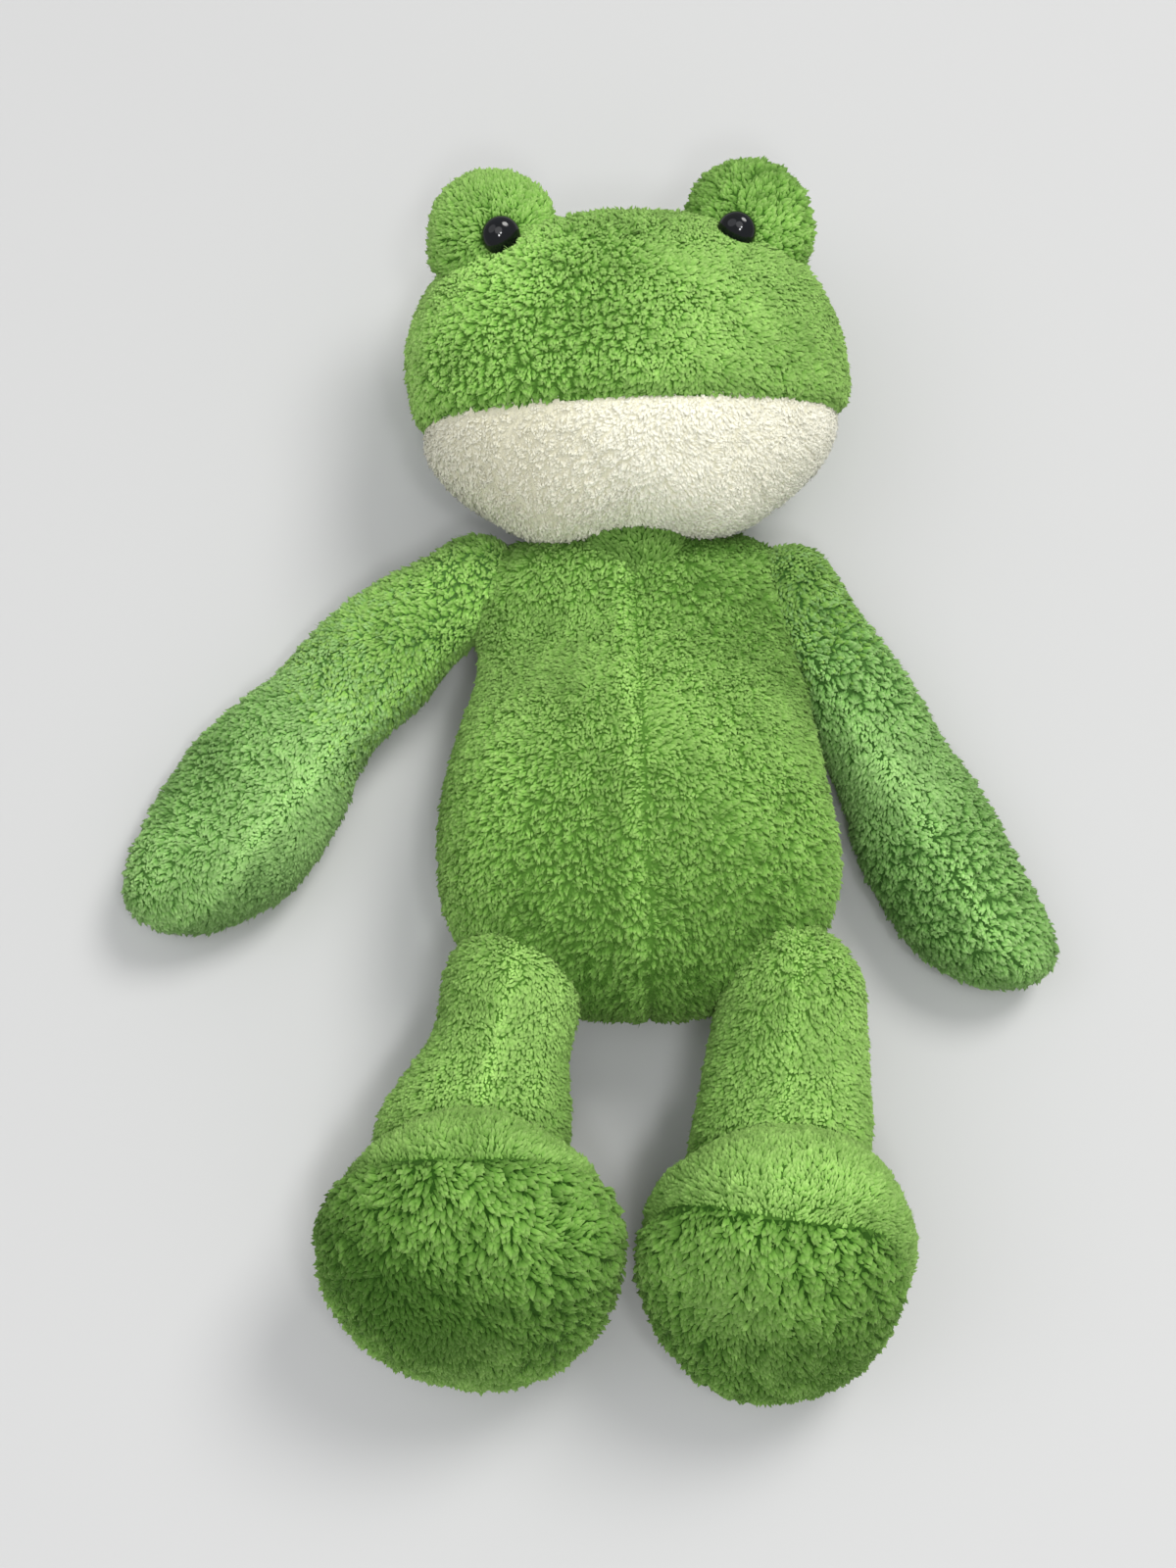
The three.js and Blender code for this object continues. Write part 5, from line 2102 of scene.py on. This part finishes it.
@dataclass
class Foot(Stuffed):
    """A broad foot that rests on its heel and shows its sole."""

    side: Side = Side.LEFT
    leg: Leg = field(default_factory=Leg)
    length: float = 102.0
    thickness: float = 60.0
    tilt: float = 34.0
    ankle_setback: float = 27.0
    ankle_rise: float = 5.0
    STEP = 2.2
    BURIED = 0.85
    CREASE = 1.5
    CREASE_WIDTH = 2.6
    # Painted shade in the crease of the sole's seam.
    SEAM_PAINTED_LIGHT = -0.08
    SEAM_BAND = 2.5
    SOLE_ROLL = Swelling(6, 5, 0.9)
    UPPER_ROLL = Swelling(-7, 6, 0.7)
    LEFT_INSTEP, RIGHT_INSTEP = 4.0, -1.5
    INSTEP_UP, INSTEP_BEHIND = (28, 48), (4, 20)
    RIGHT_HEEL = Slope(15, 45, 3.5)
    RIGHT_OUTER = Slope(22, 42, -2.0)
    SOLE_SPREAD, UPPER_SPREAD = 0.45, 0.2
    SOLE_DRIFT = np.array((0.35, 0, 0))
    RIM = Swelling(0, 4, 0.35)
    RIGHT_LIGHT = Slope(-10, 20, 0.2)
    LEFT_TOE_LIGHT = Slope(5, 35, 0.18)
    # Painted light that lifts the shade at the left foot's heel.
    LEFT_HEEL_PAINTED_LIGHT = Slope(0, 30, 0.12)
    PATCH_ACROSS, PATCH_UP = np.array((-23.0, 0, 0)), 13
    # Painted shade, for the pile that is pressed apart in a patch on the left sole.
    PATCH_SHADE = Swelling(0, 18, -0.31)
    HEELWARDS = Slope(-18, 14, 1.0)
    HEEL_CLUMPS, HEEL_UPRIGHT, HEEL_SHORT = 0.7, 0.5, 0.25
    SOLE_BRIGHTNESS = -0.36

    def __post_init__(self) -> None:
        """Sets how this foot lies: the left one is flatter."""
        left = self.side is Side.LEFT
        self.width, self.seam_rise, self.seam_radius = (91.0, 4.0, 60.0) if left else (84.0, 17.0, 56.0)
        self.seam_shift = 0.0 if left else -5.0
        self.brightness = -0.23 if left else -0.19
        self.seed = 11 if left else 12

    @property
    def toes(self) -> Array:
        """The direction from heel to toe."""
        return np.array((0, math.sin(math.radians(self.tilt)), math.cos(math.radians(self.tilt))))

    @property
    def sole(self) -> Array:
        """The direction that the sole faces."""
        return np.array((0, -self.toes[2], self.toes[1]))

    @property
    def ankle(self) -> Array:
        """The ankle's pivot, which the resting heel sets.

        Returns:
            The pivot.
        """
        toes, sole = self.toes, self.sole
        height = math.hypot(toes[2] * self.length, sole[2] * self.thickness) / 2 - FLAT
        return self.leg.ankle(height - sole[2] * self.ankle_setback + toes[2] * self.ankle_rise)

    @property
    def centre(self) -> Array:
        """The middle of the foot."""
        return self.ankle + self.sole * self.ankle_setback - self.toes * self.ankle_rise

    def form(self) -> Form:
        """A broad cushion.

        Returns:
            The form.
        """
        spine = self.centre + self.toes * np.linspace(-self.length / 2, self.length / 2, 30)[:, None]
        return Form(
            spine=spine,
            widths=(self.width / 2, self.width / 2),
            depths=(self.thickness / 2, self.thickness / 2),
            start_cap=self.length / 2,
            end_cap=self.length / 2,
            front=self.sole,
        )

    def panels(self) -> list[Panel]:
        """The upper and the sole.

        Returns:
            The panels in order.
        """
        foot = f"{self.side.word}_foot"
        upper, sole = (f"{foot}_upper", f"{foot}_stuffing"), (f"{foot}_sole",)
        return [
            Panel(f"{foot}_upper_fleece", foot, upper, UPPER_PILE, brightness=self.brightness),
            Panel(f"{foot}_sole_fleece", foot, sole, SOLE_PILE, brightness=self.SOLE_BRIGHTNESS),
        ]

    def toewards(self, points: Array) -> Array:
        """How far points lie from the foot's middle towards its toes."""
        return (points - self.centre) @ self.toes

    def over_seam(self, points: Array) -> Array:
        """How far points lie on the sole's side of its seam, which dips to the foot's sides.

        Args:
            points: Points on the straight form.

        Returns:
            Distances, under 0 on the other side.
        """
        off = points - self.centre
        under = off @ self.sole - self.seam_rise + self.seam_radius
        return np.hypot(off[..., 0] + self.seam_shift, under) - self.seam_radius

    def panel_of(self, points: Array) -> Array:
        """Upper or sole."""
        return np.where(self.over_seam(points) < 0, 0, 1)

    def seam_distance(self, points: Array) -> Array:
        """The distance to the sole's seam."""
        return np.abs(self.over_seam(points))

    def relief(self, points: Array, normals: Array) -> Array:
        """The sole and the upper bulge by their seam, and the feet differ in how full they are.

        Args:
            points: Points on the straight form.
            normals: The outward direction at each.

        Returns:
            How far the skin stands out at each point.
        """
        over, up = self.over_seam(points), self.toewards(points)
        rolls = self.SOLE_ROLL.over(over) + self.UPPER_ROLL.over(over)
        instep = smooth(up, *self.INSTEP_UP) * smooth(-over, *self.INSTEP_BEHIND)
        if self.side is Side.LEFT:
            return rolls + instep * self.LEFT_INSTEP
        heel = self.RIGHT_HEEL.over(-up) * np.clip(-normals[..., 1], 0, 1)
        outer = self.RIGHT_OUTER.over(points[..., 0] - self.centre[0])
        return rolls + (heel + instep * self.RIGHT_INSTEP + outer)

    def nap(self, at: Samples) -> Array:
        """Down and out over the sole, and up over the rest.

        Args:
            at: Where the tufts stand.

        Returns:
            A direction for each tuft.
        """
        out = at.points - self.centre
        out = out - self.sole * (out @ self.sole)[:, None]
        down = unit(unit(out) * self.SOLE_SPREAD + self.SOLE_DRIFT - self.toes)
        rim = self.RIM.over(self.over_seam(at.points))[:, None]
        down = down * (1 - rim) + (self.sole - unit(out)) * rim
        upper = unit(unit(out) * self.UPPER_SPREAD - self.sole)
        return np.where((self.over_seam(at.points) > 0)[:, None], down, upper)

    def tone(self, points: Array) -> Array:
        """Lighter at the toes, and on the left foot painted lighter at the heel against its shade, with a
        darker patch of painted shade where its pile is pressed apart.

        Args:
            points: Points on the straight form.

        Returns:
            What is added to the tone at each point.
        """
        up = self.toewards(points)
        if self.side is Side.RIGHT:
            return self.RIGHT_LIGHT.over(up)
        off = points - (self.centre + self.PATCH_ACROSS + self.toes * self.PATCH_UP)
        off = off - self.sole * (off @ self.sole)[:, None]
        lighter = self.LEFT_TOE_LIGHT.over(up) + self.LEFT_HEEL_PAINTED_LIGHT.over(-up)
        return lighter + self.PATCH_SHADE.over(np.linalg.norm(off, axis=1))

    def heelwards(self, points: Array) -> Array:
        """0 at the toes, rising to 1 at the heel."""
        return self.HEELWARDS.over(-self.toewards(points))

    def clumping(self, points: Array) -> Array:
        """More towards the heel."""
        return 1.0 + self.HEEL_CLUMPS * self.heelwards(points)

    def flatness(self, points: Array) -> Array:
        """Less towards the heel."""
        return 1.0 - self.HEEL_UPRIGHT * self.heelwards(points)

    def height(self, points: Array) -> Array:
        """Shorter towards the heel."""
        return 1.0 - self.HEEL_SHORT * self.heelwards(points)


@dataclass
class Neck(Stuffed):
    """The short neck of fleece between the torso and the head."""

    head: Head = field(default_factory=Head)
    radius: float = 20.0
    # The neck is darker: painted shadow under the chin.
    brightness: float = -0.3
    seed: int = 14
    BURIED = 0.3

    def form(self) -> Form:
        """A ball about the neck's pivot."""
        return Form.ball(self.head.pivot, self.radius)

    def panels(self) -> list[Panel]:
        """One tube of fleece."""
        return [Panel("neck_fleece", "neck", ("neck_wad",), HEAD_PILE, brightness=self.brightness)]

    def panel_of(self, points: Array) -> Array:
        """Always that one."""
        return np.zeros(points.shape[:-1], int)

    def seam_distance(self, points: Array) -> Array:
        """Far from any seam that shows."""
        return np.full(points.shape[:-1], FAR)


@dataclass
class Wad:
    """A wad of loose filling that a limb bends on."""

    node: str
    body: str
    fill: float = 0.7
    inset: float = 0.4
    step: float = 1.4
    LUMPS = Ripple(31, 6, 0.35)

    def build(self) -> None:
        """Makes a lumpy ball of filling, on its body and standing for the frame's wad."""
        low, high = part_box(self.node)
        centre = np.array((low + high) / 2) / MM
        radius = float((high - low)[0]) / 2 / MM
        skin = Form.ball(centre, radius).skin(self.inset, self.step)
        skin.push(self.LUMPS.over(skin.points))
        piece = skin.plain().make(f"{self.node}_filling", FIBRE_FILLING)
        hand_over(piece, self.body, (self.node,), Slot.STUFFING, self.fill)


@dataclass
class Studio:
    """A plain pale floor, soft light and the camera."""

    elevation: float = 75.0
    distance: float = 800.0
    target: Place = (-16.5, -5.0, 40.0)
    lens: float = 60.0
    sensor: float = 36.0
    floor_reach: float = 6.0
    backdrop: Colour = (245, 244, 243)
    even_light: float = 0.55
    warm: Colour = (255, 253, 249)
    cool: Colour = (250, 250, 255)
    white: Colour = (255, 255, 255)
    key_way: Place = (0.72, 0.75, 1.4)

    def build(self) -> None:
        """Sets the stage."""
        self.floor()
        self.lights()
        self.camera()
        bpy.context.scene.view_settings.view_transform = "Standard"

    def floor(self) -> None:
        """A wide floor of smooth pale card."""
        mesh = bpy.data.meshes.new("floor")
        far = self.floor_reach
        corners = [(-far, -far, 0), (far, -far, 0), (far, far, 0), (-far, far, 0)]
        mesh.from_pydata(corners, [], [(0, 1, 2, 3)])
        obj = bpy.data.objects.new("floor", mesh)
        bpy.context.scene.collection.objects.link(obj)
        mesh.materials.append(MATERIALS.get(PALE_CARD))

    def light(self, kind: Light, name: str, at: Place, power: float, colour: Colour, wide: float) -> None:
        """Adds a soft light that faces the toy.

        Args:
            kind: The light's kind.
            name: Its name.
            at: Its place in metres, or for a beam the direction that it comes from.
            power: Its power.
            colour: Its colour.
            wide: How wide its source is, in metres, or for a beam in degrees.
        """
        data = bpy.data.lights.new(name, kind.value)
        if kind is Light.LAMP:
            data.shape, data.size = "DISK", wide
        else:
            data.angle = math.radians(wide)
        data.energy = power
        data.color = linear(colour)[:3]
        self.aim(data, Vector(at), -Vector(at))

    @staticmethod
    def aim(data: bpy.types.ID, at: Vector, way: Vector) -> bpy.types.Object:
        """Puts a light or the camera in the scene.

        Args:
            data: The light or the camera.
            at: Its place.
            way: The direction that it faces.

        Returns:
            The new object.
        """
        obj = bpy.data.objects.new(data.name, data)
        obj.location = at
        obj.rotation_mode = "QUATERNION"
        obj.rotation_quaternion = way.to_track_quat("-Z", "Y")
        bpy.context.scene.collection.objects.link(obj)
        return obj

    def lights(self) -> None:
        """Light from the upper right, weaker light opposite and in front, and even light all round."""
        self.light(Light.LAMP, "key", self.key_way, 7.0, self.warm, wide=0.7)
        self.light(Light.BEAM, "wide key", self.key_way, 1.02, self.warm, wide=23)
        self.light(Light.BEAM, "fill", (-0.9, 0.1, 1.4), 0.36, self.cool, wide=39)
        self.light(Light.BEAM, "front", (0.0, -0.3, 1.6), 0.42, self.white, wide=31)
        self.light(Light.LAMP, "glint", (0.22, -0.35, 1.3), 1.9, self.white, wide=0.16)
        self.light(Light.LAMP, "low glint", (0.05, -0.55, 1.2), 2.3, self.white, wide=0.16)
        world = bpy.data.worlds.new("studio")
        world.use_nodes = True
        background = world.node_tree.nodes["Background"]
        background.inputs["Color"].default_value = linear(self.backdrop)
        background.inputs["Strength"].default_value = self.even_light
        bpy.context.scene.world = world

    def camera(self) -> None:
        """The camera, steeply above the toy's feet."""
        data = bpy.data.cameras.new("camera")
        data.lens = self.lens
        data.sensor_width = self.sensor
        data.clip_start, data.clip_end = 0.01, 50.0
        angle = math.radians(self.elevation)
        back = Vector((0, -math.cos(angle), math.sin(angle)))
        at = Vector(self.target) * MM + back * (self.distance * MM)
        bpy.context.scene.camera = self.aim(data, at, -back)


@dataclass
class Frog:
    """The whole toy."""

    torso: Torso = field(default_factory=Torso)
    head: Head = field(default_factory=Head)

    def build(self) -> None:
        """Builds every piece, from the torso outwards."""
        self.torso.build()
        self.head.build()
        Neck(head=self.head).build()
        for side in Side:
            mound = Mound(side=side, head=self.head)
            mound.build()
            Eye(mound).build()
            leg = Leg(side=side, torso=self.torso)
            for part in (Arm(side=side, torso=self.torso), leg, leg.foot):
                part.build()
            Wad(f"{side.word}_shoulder_wad", f"{side.word}_shoulder").build()
            Wad(f"{side.word}_hip_wad", f"{side.word}_hip").build()


def main() -> None:
    """Builds the studio and the toy, piece by piece."""
    logging.basicConfig(level=logging.INFO, format="%(name)s: %(message)s")
    Studio().build()
    Frog().build()


if __name__ == "__main__":
    main()
